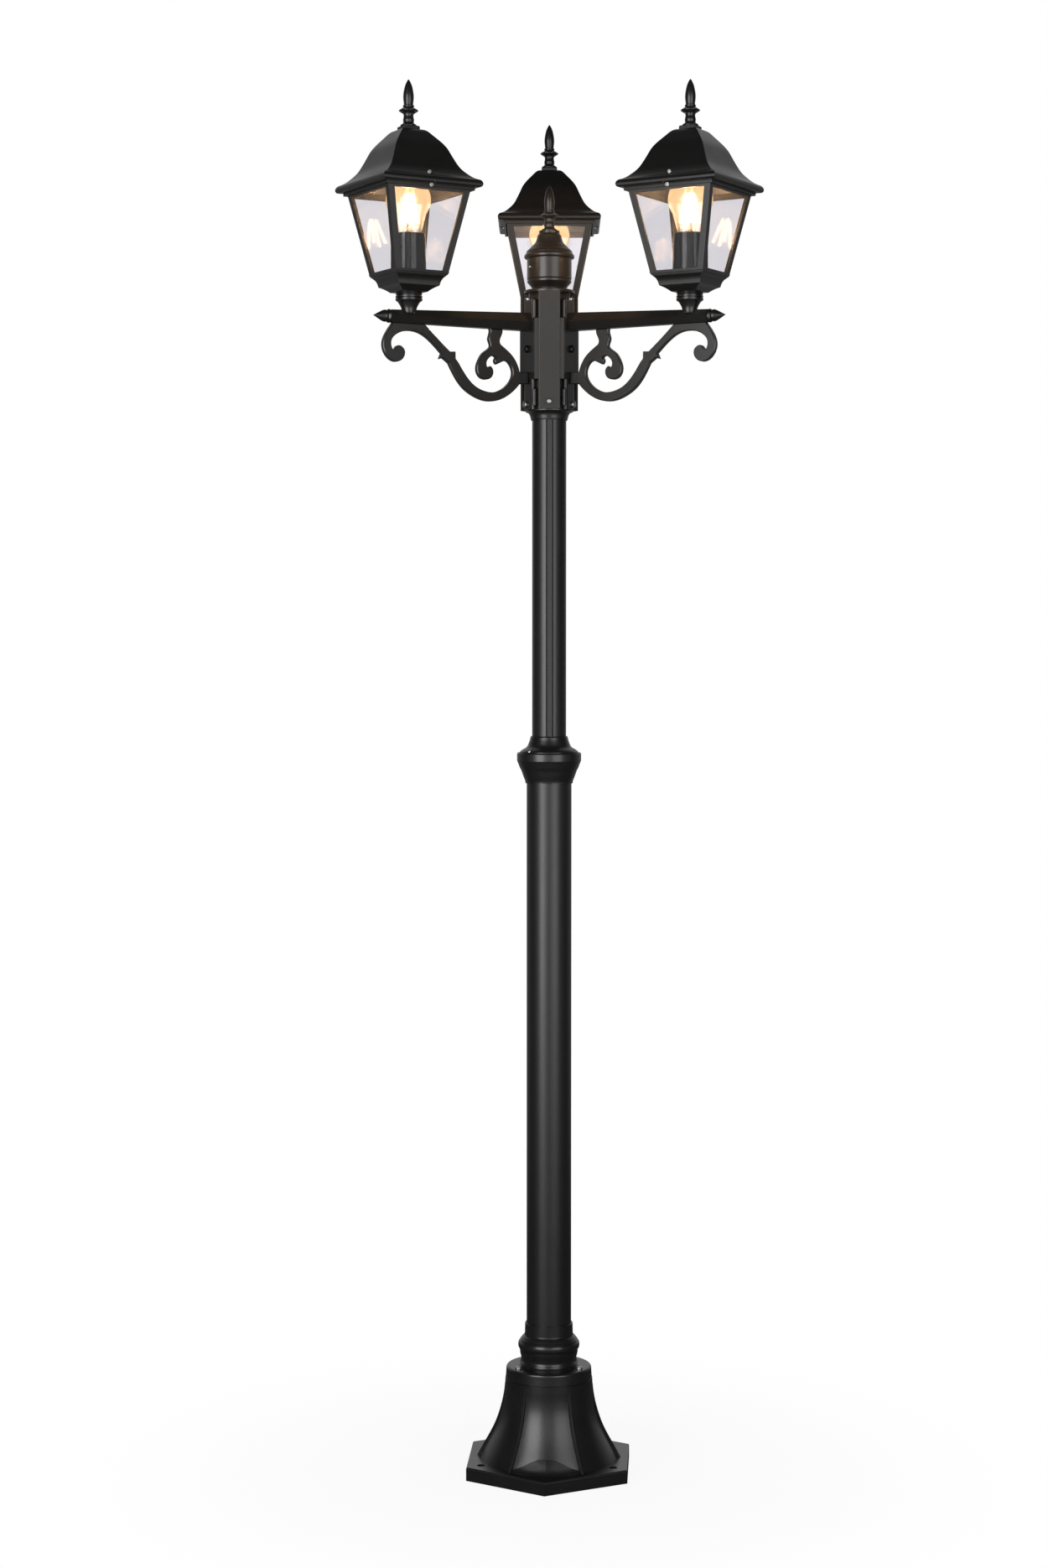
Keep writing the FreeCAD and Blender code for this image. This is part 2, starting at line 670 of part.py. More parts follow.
def saddle_screw_places():
    """Azimuth and sideways shift of each saddle's screws, which stand away from the front."""
    shifts = {"left": -saddle_screw_shift, "right": saddle_screw_shift, "back": saddle_screw_shift}
    return [(azimuth, shifts[head]) for head, azimuth in HEADS.items()]


def hub_core():
    azimuths = HEADS.values()
    backing = block((0, strip_seat), (1 - strip_width / 2, strip_width / 2 - 1), (hub_foot, hub_top))
    middle = hexagon_prism(hub_hex_reach, hub_foot + hub_hex_bottom, hub_foot + hub_hex_top)
    parts = [rod(hub_core_r, hub_foot, hub_top), spun(middle, 90)]
    parts += around(saddle_bar(), azimuths) + around(backing, strip_azimuths())
    for lug in saddle_lugs():
        parts += around(lug, azimuths)
    body = joined(parts)

    slot = block((strip_seat, 2 * strip_seat), (-strip_width / 2, strip_width / 2), (hub_foot, hub_top))
    strip_hole = radial_hole(SMALL_SCREW[2] + screw_fit, hub_bore_r + 6, 2 * strip_seat,
                             hub_foot + strip_screw_rise)
    bolt_hole = radial_hole(BLACK_BOLT[2] + screw_fit, hub_hex_reach - 10, 2 * saddle_reach,
                            hub_foot + hub_bolt_rise)
    lead_hole = radial_hole(arm_bore_r, 0, saddle_reach, arm_under + arm_bore_rise)
    cuts = [rod(upper_tube_r + fit, hub_foot, upper_tube_top), rod(hub_bore_r, hub_foot, hub_top)]
    cuts += around(slot, strip_azimuths()) + around(strip_hole, strip_azimuths())
    for cutter in (bolt_hole, lead_hole, arm_outside()):
        cuts += around(cutter, azimuths)
    pan_hole_r = PAN_SCREW[2] + screw_fit
    top = hub_foot + saddle_height
    for azimuth, shift in saddle_screw_places():
        low_hole = radial_hole(pan_hole_r, saddle_reach - 8, 2 * saddle_reach,
                               hub_foot + saddle_screw_rise)
        low_hole.translate(Vector(0, shift, 0))
        top_hole = rod(pan_hole_r, top - top_screw_length - 1, top, top_screw_reach, shift)
        head_room = rod(PAN_SCREW[0] + spot_face_room, top, hub_top, top_screw_reach, shift)
        cuts += [spun(low_hole, azimuth), spun(top_hole, azimuth), spun(head_room, azimuth)]
    return body.cut(cuts)


def hub_strip():
    """A flat cover strip between two arms, with a shallow pocket for its screw."""
    face_reach = strip_seat + strip_thickness
    strip = block((strip_seat, face_reach), (-strip_width / 2, strip_width / 2), (hub_foot, hub_top))
    edges = []
    for edge in strip.Edges:
        box = edge.BoundBox
        if box.XMin > face_reach - 1 and box.ZLength > hub_height / 2:
            edges.append(edge)
    strip = strip.makeFillet(1.2, edges)
    width, height, depth = strip_pocket
    rise = hub_foot + strip_screw_rise
    pocket = block((face_reach - depth, face_reach + 1), (-width / 2, width / 2),
                   (rise - height / 2, rise + height / 2))
    hole = radial_hole(SMALL_SCREW[2] + screw_fit, strip_seat, face_reach, rise)
    return strip.cut([pocket, hole])


def strip_screws():
    reach = strip_seat + strip_thickness - strip_pocket[2]
    screw = radial_screw(SMALL_SCREW, reach, strip_screw_length, hub_foot + strip_screw_rise)
    return around(screw, strip_azimuths())


def strip_azimuths():
    return [30 + third for third in THIRDS]


def hub_screws():
    """Zinc screws on the top and at the foot of each saddle, and the set screw of the cap."""
    screws = []
    for azimuth, shift in saddle_screw_places():
        rise = hub_foot + saddle_screw_rise
        low = radial_screw(PAN_SCREW, saddle_reach, saddle_screw_length, rise, shift)
        top = upright_screw(PAN_SCREW, hub_foot + saddle_height, top_screw_length, top_screw_reach,
                            shift)
        screws += [spun(low, azimuth), spun(top, azimuth)]
    set_screw = radial_screw(SMALL_SCREW, cap_barrel_r, cap_barrel_r - cover_spigot_r,
                             cap_seat + cap_screw_rise)
    return screws + [spun(set_screw, HEADS["left"])]


def hub_bolts():
    bolt = radial_screw(BLACK_BOLT, hub_hex_reach, hub_bolt_length, hub_foot + hub_bolt_rise)
    return around(bolt, HEADS.values())


def hub_cover_socket():
    """The plate on the hub, with a flared socket and a spigot that carries the cap."""
    plate_top = hub_top + cover_plate_thickness
    web_foot = cap_seat - cover_web
    spigot_top = cap_seat + cover_spigot_height
    body = turned((hub_bore_r, hub_top), (cover_plate_r, hub_top), (cover_plate_r, plate_top - 1),
                  (cover_plate_r - 1, plate_top), (cover_neck_r, plate_top),
                  lifted(COVER_FLARE, hub_top), (cover_seat_r, hub_top + COVER_FLARE[-1][1] + 1.2),
                  (cover_seat_r, cap_seat - 1.2), (cover_seat_r - 0.8, cap_seat),
                  (cover_spigot_r, cap_seat), (cover_spigot_r, spigot_top),
                  (cover_neck_r, spigot_top), (cover_neck_r, cap_seat), (0, cap_seat), (0, web_foot),
                  (hub_bore_r, web_foot))
    cable_hole = rod(cable_r + 4 * fit, web_foot, cap_seat)
    lead_hole = rod(lead_r + 4 * fit, web_foot, cap_seat, lead_circle_r)
    return body.cut([cable_hole] + around(lead_hole, HEADS.values()))


def hub_cap():
    barrel_top = cap_seat + cap_barrel_height
    inner_r = cap_barrel_r - cap_wall
    stud_hole_r = finial_stud_r + fit
    cap = turned((inner_r, cap_seat), (cap_barrel_r - 0.8, cap_seat), (cap_barrel_r, cap_seat + 0.8),
                 (cap_barrel_r, barrel_top), *lifted(CAP_FLARE, cap_seat),
                 lifted(CAP_DOME, cap_seat), (cap_top_r, cap_top - 3.5), (cap_top_r, cap_top),
                 (stud_hole_r, cap_top), (stud_hole_r, cap_seat + cap_ceiling),
                 (CAP_DOME_INSIDE[-1][0], cap_seat + cap_ceiling),
                 lifted(reversed(CAP_DOME_INSIDE), cap_seat), (inner_r, barrel_top + 2))
    hole = radial_hole(SMALL_SCREW[2] + screw_fit, inner_r - 1, cap_barrel_r + 1,
                       cap_seat + cap_screw_rise)
    return cap.cut(spun(hole, HEADS["left"]))


def finial(foot):
    """A spear finial with the stud that screws into whatever it stands on."""
    tip = foot + finial_height
    stud_foot = foot - finial_stud_length
    return turned((0, stud_foot), (finial_stud_r, stud_foot), (finial_stud_r, foot),
                  (FINIAL_FOOT[0][0], foot), lifted(FINIAL_FOOT[1:], foot),
                  *lifted(FINIAL_RINGS, foot), lifted(FINIAL_BUD, foot) + [(finial_tip_r, tip)],
                  (0, tip))


def terminal_block():
    """A round terminal block on three feet, above the holes its wires come through."""
    foot = cap_seat + terminal_stand
    body = rod(terminal_r, foot, foot + terminal_height)
    feet = around(rod(terminal_foot_r, cap_seat, foot, terminal_r - 3.5), strip_azimuths())
    top = foot + terminal_height
    pit = rod(terminal_pit_r, top - terminal_pit_depth, top, terminal_r - 5)
    pits = around(pit, [60 * step for step in range(6)])
    return joined([body.cut(pits)] + feet)


# ---------------------------------------------------------------- wiring

def supply_cable():
    foot = lower_tube_foot - web_thickness - connector_drop
    return rod(cable_r, foot, cap_seat + terminal_stand)


def head_lead():
    """One head's lead: down from the lampholder, along the arm, up to the terminal block."""
    level = arm_under + arm_bore_rise
    top_out = floor_top + holder_inlet_depth()
    top_in = cap_seat + terminal_stand
    bend = lead_bend
    slant = bend * (1 - math.cos(math.radians(45)))
    out_x = head_reach
    in_x = lead_circle_r
    edges = [
        Part.makeLine(Vector(out_x, 0, top_out), Vector(out_x, 0, level + bend)),
        Part.Arc(Vector(out_x, 0, level + bend), Vector(out_x - slant, 0, level + slant),
                 Vector(out_x - bend, 0, level)).toShape(),
        Part.makeLine(Vector(out_x - bend, 0, level), Vector(in_x + bend, 0, level)),
        Part.Arc(Vector(in_x + bend, 0, level), Vector(in_x + slant, 0, level + slant),
                 Vector(in_x, 0, level + bend)).toShape(),
        Part.makeLine(Vector(in_x, 0, level + bend), Vector(in_x, 0, top_in)),
    ]
    end = Part.makeCircle(lead_r, Vector(out_x, 0, top_out), UP)
    return Part.Wire(edges).makePipeShell([Part.Wire(end)], True, False)


def head_leads():
    return around(head_lead(), HEADS.values())


def holder_inlet_depth():
    return holder_height / 8


# ---------------------------------------------------------------- arm

def arm_height_at(x):
    share = (x - saddle_reach) / (arm_end - saddle_reach)
    return arm_root_height + share * (arm_end_height - arm_root_height)


def arm_section(x):
    """A hexagon with flats above and below, standing on the arm's level underside."""
    height = arm_height_at(x)
    flat = height / math.sqrt(3)
    middle = arm_under + height / 2
    top = arm_under + height
    points = [(flat / 2, arm_under), (flat, middle), (flat / 2, top), (-flat / 2, top), (-flat, middle),
              (-flat / 2, arm_under), (flat / 2, arm_under)]
    return Part.makePolygon([Vector(x, y, z) for y, z in points])


def arm_outside():
    return Part.makeLoft([arm_section(saddle_reach), arm_section(arm_end)], True, True)


def arm():
    level = arm_under + arm_bore_rise
    bore = radial_hole(arm_bore_r, saddle_reach, head_reach + arm_bore_r, level)
    riser = rod(arm_riser_r, level, arm_under + arm_root_height, head_reach)
    stud_hole = radial_hole(tip_stud_r + fit, arm_end - tip_stud_length - 1, arm_end,
                            arm_under + arm_end_height / 2)
    return arm_outside().cut([bore, riser, stud_hole])


def arm_tip():
    """A pointed bud behind a bead, on a stud in the arm's end."""
    bud = turned((0, -tip_stud_length), (tip_stud_r, -tip_stud_length), (tip_stud_r, 0),
                 (tip_bead_r - 1.4, 0), [(tip_bead_r, 1.8), (tip_bead_r - 1.2, 4.0)],
                 (tip_bead_r - 2.2, 5.0), TIP_BUD, (0, TIP_BUD[-1][1]))
    bud.rotate(ORIGIN, SIDEWAYS, 90)
    bud.translate(Vector(arm_end, 0, arm_under + arm_end_height / 2))
    return bud


def scroll():
    """The scrolled plate under the arm, from the arm's outer end round to the hub."""
    spans = [SCROLL_HOOK_OUT, SCROLL_HOOK_IN, SCROLL_KNOT_LOW[0], SCROLL_KNOT_LOW[1],
             SCROLL_KNOT_LOW[2], SCROLL_BELLY, (0.0, scroll_tab_low), (0.0, scroll_tab_high),
             SCROLL_RING_OUT[0], SCROLL_RING_OUT[1:], SCROLL_STEM_IN, (scroll_stem_out, 0.0),
             SCROLL_CURL_OUT, SCROLL_CURL_IN, SCROLL_LEAF, SCROLL_RING_IN, SCROLL_KNOT_HIGH[0],
             SCROLL_KNOT_HIGH[1], SCROLL_KNOT_HIGH[2], SCROLL_BACK]
    placed = []
    for span in spans:
        if isinstance(span, list):
            placed.append([scroll_point(point) for point in span])
        else:
            placed.append(scroll_point(span))
    face = profile_face(scroll_point(SCROLL_START), *placed)
    face.translate(Vector(0, -scroll_thickness / 2, 0))
    plate = face.extrude(Vector(0, scroll_thickness, 0))
    rims = [edge for edge in plate.Edges if edge.BoundBox.YLength < scroll_thickness / 2]
    return plate.makeChamfer(scroll_edge, rims)


def scroll_point(point):
    out, drop = point
    stretch = (arm_end - hub_hex_reach) / scroll_drawn_length
    return (hub_hex_reach + out * stretch, arm_under - drop)


# ---------------------------------------------------------------- lantern
# The lantern's pieces are drawn about the pole's axis and then moved out to head_reach.

def out_on_arm(shape):
    shape.translate(Vector(head_reach, 0, 0))
    return shape


def neck():
    """The turned cup between arm and lantern, its foot a saddle on the arm."""
    foot = arm_under + arm_height_at(head_reach) - neck_foot_drop
    body = turned((arm_bore_r, foot), (neck_foot_r, foot), lifted(NECK_CUP, foot),
                  *lifted(NECK_RINGS, foot), (neck_top_r, lantern_foot), (arm_bore_r, lantern_foot))
    return out_on_arm(body).cut(arm_outside())


def frame_half(height):
    """Half width of the lantern's outside at a height above its foot."""
    share = (height - window_bottom) / window_height
    return frame_half_low + share * (frame_half_high - frame_half_low)


def frame_cone(inset, low, high):
    """The tapered square inside of the lantern's outside face, from low to high above its foot."""
    return squared((frame_half(low) - inset, lantern_foot + low),
                   (frame_half(high) - inset, lantern_foot + high))


def face_wedge(inset, low, high):
    """A tapered slot through the two faces across the arm, inset from the corners."""
    low_half = frame_half(low) - inset
    high_half = frame_half(high) - inset
    face = profile_face((-low_half, lantern_foot + low), (low_half, lantern_foot + low),
                        (high_half, lantern_foot + high), (-high_half, lantern_foot + high))
    reach = 2 * frame_half_high
    face.translate(Vector(0, -reach, 0))
    return face.extrude(Vector(0, 2 * reach, 0))


def lantern_frame():
    foot = lantern_foot
    moulding = squared((frame_foot_half, foot), lifted(FRAME_FOOT, foot), *lifted(FRAME_STEP, foot),
                       lifted(FRAME_COVE, foot), *lifted(FRAME_BEAD, foot),
                       (frame_half_low, foot + window_bottom))
    rail_top = window_top + rail_height
    sides = frame_cone(0, window_bottom, rail_top)
    outside = joined([moulding, sides])
    inside = frame_cone(frame_wall, window_bottom - 2.0, rail_top)
    low_hollow = squared((frame_foot_half - 4, foot + 6), (frame_foot_half + 8, foot + 11),
                         (frame_bead_half - 8, floor_top - floor_thickness))
    window = face_wedge(post_width, window_bottom, window_top)
    cuts = [inside, low_hollow, window, spun(window, 90), rod(arm_bore_r, foot, foot + 8),
            rod(holder_hole_r, floor_top - floor_thickness - 1, floor_top)]
    return out_on_arm(outside.cut(cuts))


def glass_panes():
    """Four tapered panes, each behind its window and clear of its neighbours."""
    low = window_bottom - pane_lap + fit
    high = window_top + pane_lap
    outer_inset = frame_wall + fit
    inner_inset = outer_inset + pane_thickness
    sheets = frame_cone(outer_inset, low, high).cut(frame_cone(inner_inset, low, high))
    pair = sheets.common(face_wedge(inner_inset + 4 * fit, low, high))
    panes = []
    for quarter in (0, 90):
        for pane in spun(pair, quarter).Solids:
            panes.append(out_on_arm(pane))
    return panes


def roof():
    """The ogee roof: a skirt round the frame's rail, a rolled lip, four curved slopes, a plate."""
    base = frame_top
    skirt_foot = base - skirt_depth
    outside = squared((skirt_half, skirt_foot), (skirt_half, base + lip_bottom),
                      (lip_half - 4, base + lip_bottom),
                      [(lip_half - 0.8, base + lip_bottom + 1.6), (lip_half, base + lip_bottom + 4.2),
                       (lip_half - 1.6, base + lip_height - 2.2), (lip_half - 5.0, base + lip_height)],
                      lifted(ROOF_SLOPE, base), (roof_plate_half, base + roof_plate_rise),
                      (roof_plate_half, base + roof_height - 1), (roof_plate_half - 1, base + roof_height))
    rail_half = frame_half(window_top + rail_height) + skirt_clearance
    under = lifted([(half - roof_wall, rise - roof_wall) for half, rise in ROOF_SLOPE[1:-1]], base)
    hollow = squared((rail_half, skirt_foot - 1), (rail_half, base), (rail_half - 3.0, base),
                     (under[0][0], under[0][1]), under[1:], (under[-1][0], under[-1][1] - 1))
    body = outside.cut([hollow, rod(finial_stud_r + fit, base + roof_plate_rise - 8, base + roof_height)])
    side_cuts = []
    for side in (90, 270):
        for reach, rise, length in roof_screw_places():
            hole = radial_hole(SMALL_SCREW[2] + screw_fit, reach - length - 1, reach, rise)
            spot = radial_hole(SMALL_SCREW[0] + spot_face_room, reach, reach + 12, rise)
            side_cuts += [spun(hole, side), spun(spot, side)]
    return out_on_arm(body.cut(side_cuts))


def roof_screw_places():
    """Each roof screw's seat, height and length: one in the skirt, one in the slope above the lip."""
    slope_half = ROOF_SLOPE[1][0] + slope_screw_stand
    skirt_wall = skirt_half - skirt_clearance - frame_half(window_top + rail_height)
    return [(skirt_half, frame_top + skirt_screw_rise, skirt_wall),
            (slope_half, frame_top + slope_screw_rise, slope_screw_length)]


def roof_screws():
    screws = []
    for side in (90, 270):
        for reach, rise, length in roof_screw_places():
            screws.append(out_on_arm(spun(radial_screw(SMALL_SCREW, reach, length, rise), side)))
    return screws


# ---------------------------------------------------------------- lampholder and bulb

def lampholder():
    """The tall skirted lampholder, with a nipple through the lantern's floor."""
    top = floor_top + holder_height
    thread_r = bulb_cap_r + bulb_cap_room
    pit = bulb_foot - bulb_contact_height / 2
    inlet_top = floor_top + holder_inlet_depth()
    nipple_foot = floor_top - floor_thickness - 2
    nipple_r = holder_hole_r - screw_fit
    inlet_r = lead_r + 4 * fit
    body = turned((inlet_r, nipple_foot), (nipple_r, nipple_foot), (nipple_r, floor_top),
                  (holder_r - 1, floor_top), (holder_r, floor_top + 1), (holder_r, top - 1),
                  (holder_r - 1, top), (holder_mouth_r, top), (holder_mouth_r, top - holder_mouth_depth),
                  (thread_r, top - holder_mouth_depth), (thread_r, pit), (bulb_contact_r, pit),
                  (bulb_contact_r, bulb_foot), (0, bulb_foot), (0, inlet_top), (inlet_r, inlet_top))
    return out_on_arm(body)


def bulb_cap():
    """The screw cap with its centre contact and rolled thread."""
    foot = bulb_foot
    shell_foot = foot + bulb_contact_height
    top = foot + bulb_cap_height
    points = [(bulb_cap_r - 3.5, shell_foot)]
    level = shell_foot + 1.6
    while level + thread_pitch < top - 3:
        points += [(bulb_cap_r - thread_depth, level), (bulb_cap_r, level + thread_pitch / 2)]
        level += thread_pitch
    points.append((bulb_cap_r - thread_depth, level))
    body = turned((0, foot), (bulb_contact_r, foot), (bulb_contact_r, foot + 1.2),
                  (bulb_contact_r + 3, shell_foot), *points, (bulb_cap_r, top - 1.5), (bulb_cap_r, top),
                  (0, top))
    return out_on_arm(body)


def bulb_envelope(shrink):
    """A solid of the bulb's glass, shrunk by a wall."""
    foot = bulb_foot + bulb_cap_height + shrink
    centre = bulb_foot + bulb_length - bulb_r
    radius = bulb_r - shrink
    join = math.radians(bulb_join_angle)
    neck = [(point_r - shrink, bulb_foot + rise) for point_r, rise in BULB_NECK]
    neck.append((radius * math.cos(join), centre - radius * math.sin(join)))
    edges, here = edges_of((0, foot), [(bulb_neck_r - shrink, foot), neck])
    globe = Part.Arc(here, upright(radius, centre), upright(0, centre + radius)).toShape()
    edges.append(globe)
    edges.append(Part.makeLine(upright(0, centre + radius), upright(0, foot)))
    return Part.Face(Part.Wire(edges)).revolve(ORIGIN, UP, 360)


def bulb_glass():
    """The clear envelope and the glass stem that carries the filament."""
    shell = bulb_envelope(0).cut(bulb_envelope(bulb_wall))
    foot = bulb_foot + bulb_cap_height
    stem = turned((0, foot), (stem_r + 3, foot), (stem_r, foot + 8), (stem_r - 2, foot + stem_height),
                  (0, foot + stem_height))
    return out_on_arm(joined([shell, stem]))


# ---------------------------------------------------------------- writing the nodes

def save(name, shape):
    """Write one node. A list of shapes is a node of separate solids."""
    if isinstance(shape, list):
        shape = Part.makeCompound(shape)
    if not shape.isValid():
        print("not valid:", name)
    shape.exportStep("parts/" + name + ".step")
    print(name, len(shape.Solids), round(shape.Volume / 1000, 2), "cm3")


SHARED = {
    "base_casting": base_casting,
    "base_screws": base_screws,
    "base_collar": base_collar,
    "cable_grommet": cable_grommet,
    "supply_connector": supply_connector,
    "lower_tube": lower_tube,
    "mid_collar_cup": mid_collar_cup,
    "mid_collar_ring": mid_collar_ring,
    "mid_collar_screws": mid_collar_screws,
    "upper_tube": upper_tube,
    "hub_ring": hub_ring,
    "hub_core": hub_core,
    "strip_screws": strip_screws,
    "hub_screws": hub_screws,
    "hub_bolts": hub_bolts,
    "hub_cover_socket": hub_cover_socket,
    "hub_cap": hub_cap,
    "terminal_block": terminal_block,
    "supply_cable": supply_cable,
    "head_leads": head_leads,
}

PER_HEAD = {
    "arm": arm,
    "arm_tip": arm_tip,
    "scroll": scroll,
    "neck": neck,
    "lantern_frame": lantern_frame,
    "glass_panes": glass_panes,
    "roof": roof,
    "roof_screws": roof_screws,
    "finial": lambda: out_on_arm(finial(roof_top)),
    "lampholder": lampholder,
    "bulb_cap": bulb_cap,
    "bulb_glass": bulb_glass,
}


def main():
    for name, make in SHARED.items():
        save(name, make())
    save("cap_finial", finial(cap_top))
    for number, azimuth in enumerate(strip_azimuths(), start=1):
        save("hub_strip_" + str(number), spun(hub_strip(), azimuth))
    for name, make in PER_HEAD.items():
        shape = make()
        for head, azimuth in HEADS.items():
            if isinstance(shape, list):
                save(name + "_" + head, [spun(piece, azimuth) for piece in shape])
            else:
                save(name + "_" + head, spun(shape, azimuth))


main()
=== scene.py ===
# %% [markdown]
# # A garden lamp post with three lanterns
# The post is cast aluminium and steel tube under one black powder coat: a bell on a six-sided
# foot, two tubes, a hub with three scrolled arms and a glazed lantern on each arm. The solid
# parts arrive as a fixed frame. This file gives them their finishes, adds the lit lamps that the
# frame leaves plain, and sets up the studio.

# %% The frame
import bmesh
import bpy
import math
from mathutils import Matrix, Vector


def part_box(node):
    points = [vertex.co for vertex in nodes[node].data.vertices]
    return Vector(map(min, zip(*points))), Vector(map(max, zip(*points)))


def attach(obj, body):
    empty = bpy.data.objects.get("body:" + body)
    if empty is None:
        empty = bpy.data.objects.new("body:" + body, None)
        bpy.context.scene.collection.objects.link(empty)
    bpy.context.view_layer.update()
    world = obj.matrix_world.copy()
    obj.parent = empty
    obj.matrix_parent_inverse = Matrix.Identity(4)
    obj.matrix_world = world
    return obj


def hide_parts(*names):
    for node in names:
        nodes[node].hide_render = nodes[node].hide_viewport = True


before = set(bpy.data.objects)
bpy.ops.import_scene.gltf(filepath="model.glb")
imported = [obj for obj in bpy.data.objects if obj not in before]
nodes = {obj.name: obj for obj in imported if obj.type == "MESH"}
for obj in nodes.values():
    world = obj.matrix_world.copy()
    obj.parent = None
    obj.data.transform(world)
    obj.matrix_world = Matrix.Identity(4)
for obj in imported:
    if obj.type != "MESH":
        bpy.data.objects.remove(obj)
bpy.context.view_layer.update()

# %% [markdown]
# ## Where the heads stand
# The three heads stand at equal thirds about the pole, two of them forward. Each one is the same
# lantern turned about the pole, so a piece is made once in the pole's own place, with its arm
# along +X, and then carried out to each head. The heights come from the frame's own nodes, so
# they follow it if a size changes there.

# %% Heads and heights
HEADS = {"left": 210.0, "right": 330.0, "back": 90.0}
glass_low, glass_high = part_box("bulb_glass_back")
head_reach = (glass_low.y + glass_high.y) / 2
bulb_r = (glass_high.x - glass_low.x) / 2
bulb_top = glass_high.z
bulb_centre = bulb_top - bulb_r
bulb_foot = glass_low.z
print("head reach", round(head_reach, 4), "bulb radius", round(bulb_r, 4),
      "from", round(bulb_foot, 4), "to", round(bulb_top, 4))


def head_place(head):
    """The turn and shift that carry a piece from the pole's axis out to a head."""
    turn = Matrix.Rotation(math.radians(HEADS[head]), 4, "Z")
    return turn @ Matrix.Translation((head_reach, 0, 0))


# %% [markdown]
# ## A camera where the photographer stood
# The picture was taken with a long lens from about four metres, a little above the middle of the
# post and tilted down slightly, so the foot is seen from above and the roofs from just below.
# A long lens keeps the pole's edges parallel.

# %% Camera
camera_distance = 3.91      # metres
camera_height = 1.177
camera_tilt = 2.86          # degrees, downwards
camera_pan = 0.52           # degrees, to the left
camera_lens = 63.53         # millimetres

camera = bpy.data.objects.new("camera", bpy.data.cameras.new("camera"))
camera.data.lens = camera_lens
camera.location = (0, -camera_distance, camera_height)
camera.rotation_euler = (math.radians(90 - camera_tilt), 0, math.radians(camera_pan))
bpy.context.scene.collection.objects.link(camera)
bpy.context.scene.camera = camera
print("camera at", tuple(round(v, 3) for v in camera.location))

# %% [markdown]
# ## A studio of soft boxes
# Black satin metal shows its surroundings more than its own colour. The picture has a tall
# bright band left of the middle of every tube and a dimmer, wider one on the right, so there are
# two tall soft boxes on either side of the camera and a weak one behind it. The brightness of a
# soft box is its radiance, where 1 is as bright as a white sheet; the lamp's power follows from
# that and its area.

# %% Soft boxes
SOFT_BOXES = {              # azimuth from the front, distance, width, foot, top, radiance
    "left_box": (-33.0, 2.8, 1.5, 0.2, 2.7, 4.6),
    "right_box": (29.0, 2.8, 1.7, 0.2, 2.7, 2.4),
    "camera_box": (-4.0, 5.2, 2.0, 0.2, 3.4, 0.9),
}


def soft_box(name, azimuth, distance, width, foot, top, radiance):
    """An upright area lamp that faces the pole."""
    lamp = bpy.data.lights.new(name, "AREA")
    lamp.shape = "RECTANGLE"
    lamp.size = width
    lamp.size_y = top - foot
    lamp.energy = radiance * math.pi * width * (top - foot)
    obj = bpy.data.objects.new(name, lamp)
    turn = math.radians(azimuth)
    obj.location = (distance * math.sin(turn), -distance * math.cos(turn), (foot + top) / 2)
    obj.rotation_euler = (math.radians(90), 0, turn)
    obj.visible_camera = False
    bpy.context.scene.collection.objects.link(obj)
    return obj


for box_name, box_values in SOFT_BOXES.items():
    made_box = soft_box(box_name, *box_values)
    print(box_name, "power", round(made_box.data.energy, 1), "W")

# %% [markdown]
# ## Shader arithmetic in plain expressions
# A finish is a small calculation: so much noise here, a little less gloss there. Wired by hand it
# takes a dozen Math nodes. Instead one small class wraps a socket, and its operators add the
# nodes, so that a mask can be written as `1 - mask * 0.4`.

# %% Numbers in a node tree
class Flow:
    """A number on its way through a node tree."""

    def __init__(self, wiring, socket):
        self.wiring = wiring
        self.socket = socket

    def combine(self, operation, first, second):
        return self.wiring.put("Math", {"operation": operation}, {0: first, 1: second})

    def __add__(self, other):
        return self.combine("ADD", self, other)

    def __sub__(self, other):
        return self.combine("SUBTRACT", self, other)

    def __mul__(self, other):
        return self.combine("MULTIPLY", self, other)

    def __rsub__(self, other):
        return self.combine("SUBTRACT", other, self)

    __radd__ = __add__
    __rmul__ = __mul__

    def above(self, limit):
        """1 where the number is over the limit, 0 elsewhere."""
        return self.combine("GREATER_THAN", self, limit)

    def below(self, limit):
        """1 where the number is under the limit, 0 elsewhere."""
        return self.combine("LESS_THAN", self, limit)


print("operators + - * and two comparisons ready")

# %% [markdown]
# ## One method for every node
# Any other node comes from `put`, which sets the node's own settings first and then its inputs.
# The floor and the surroundings also need to know who is looking. Light Path tells that: a ray
# from the camera, one that has been through glass, or one that a glossy surface threw back.

# %% Wiring of a tree
no_bounce = 0.5             # a depth under this means no bounce yet


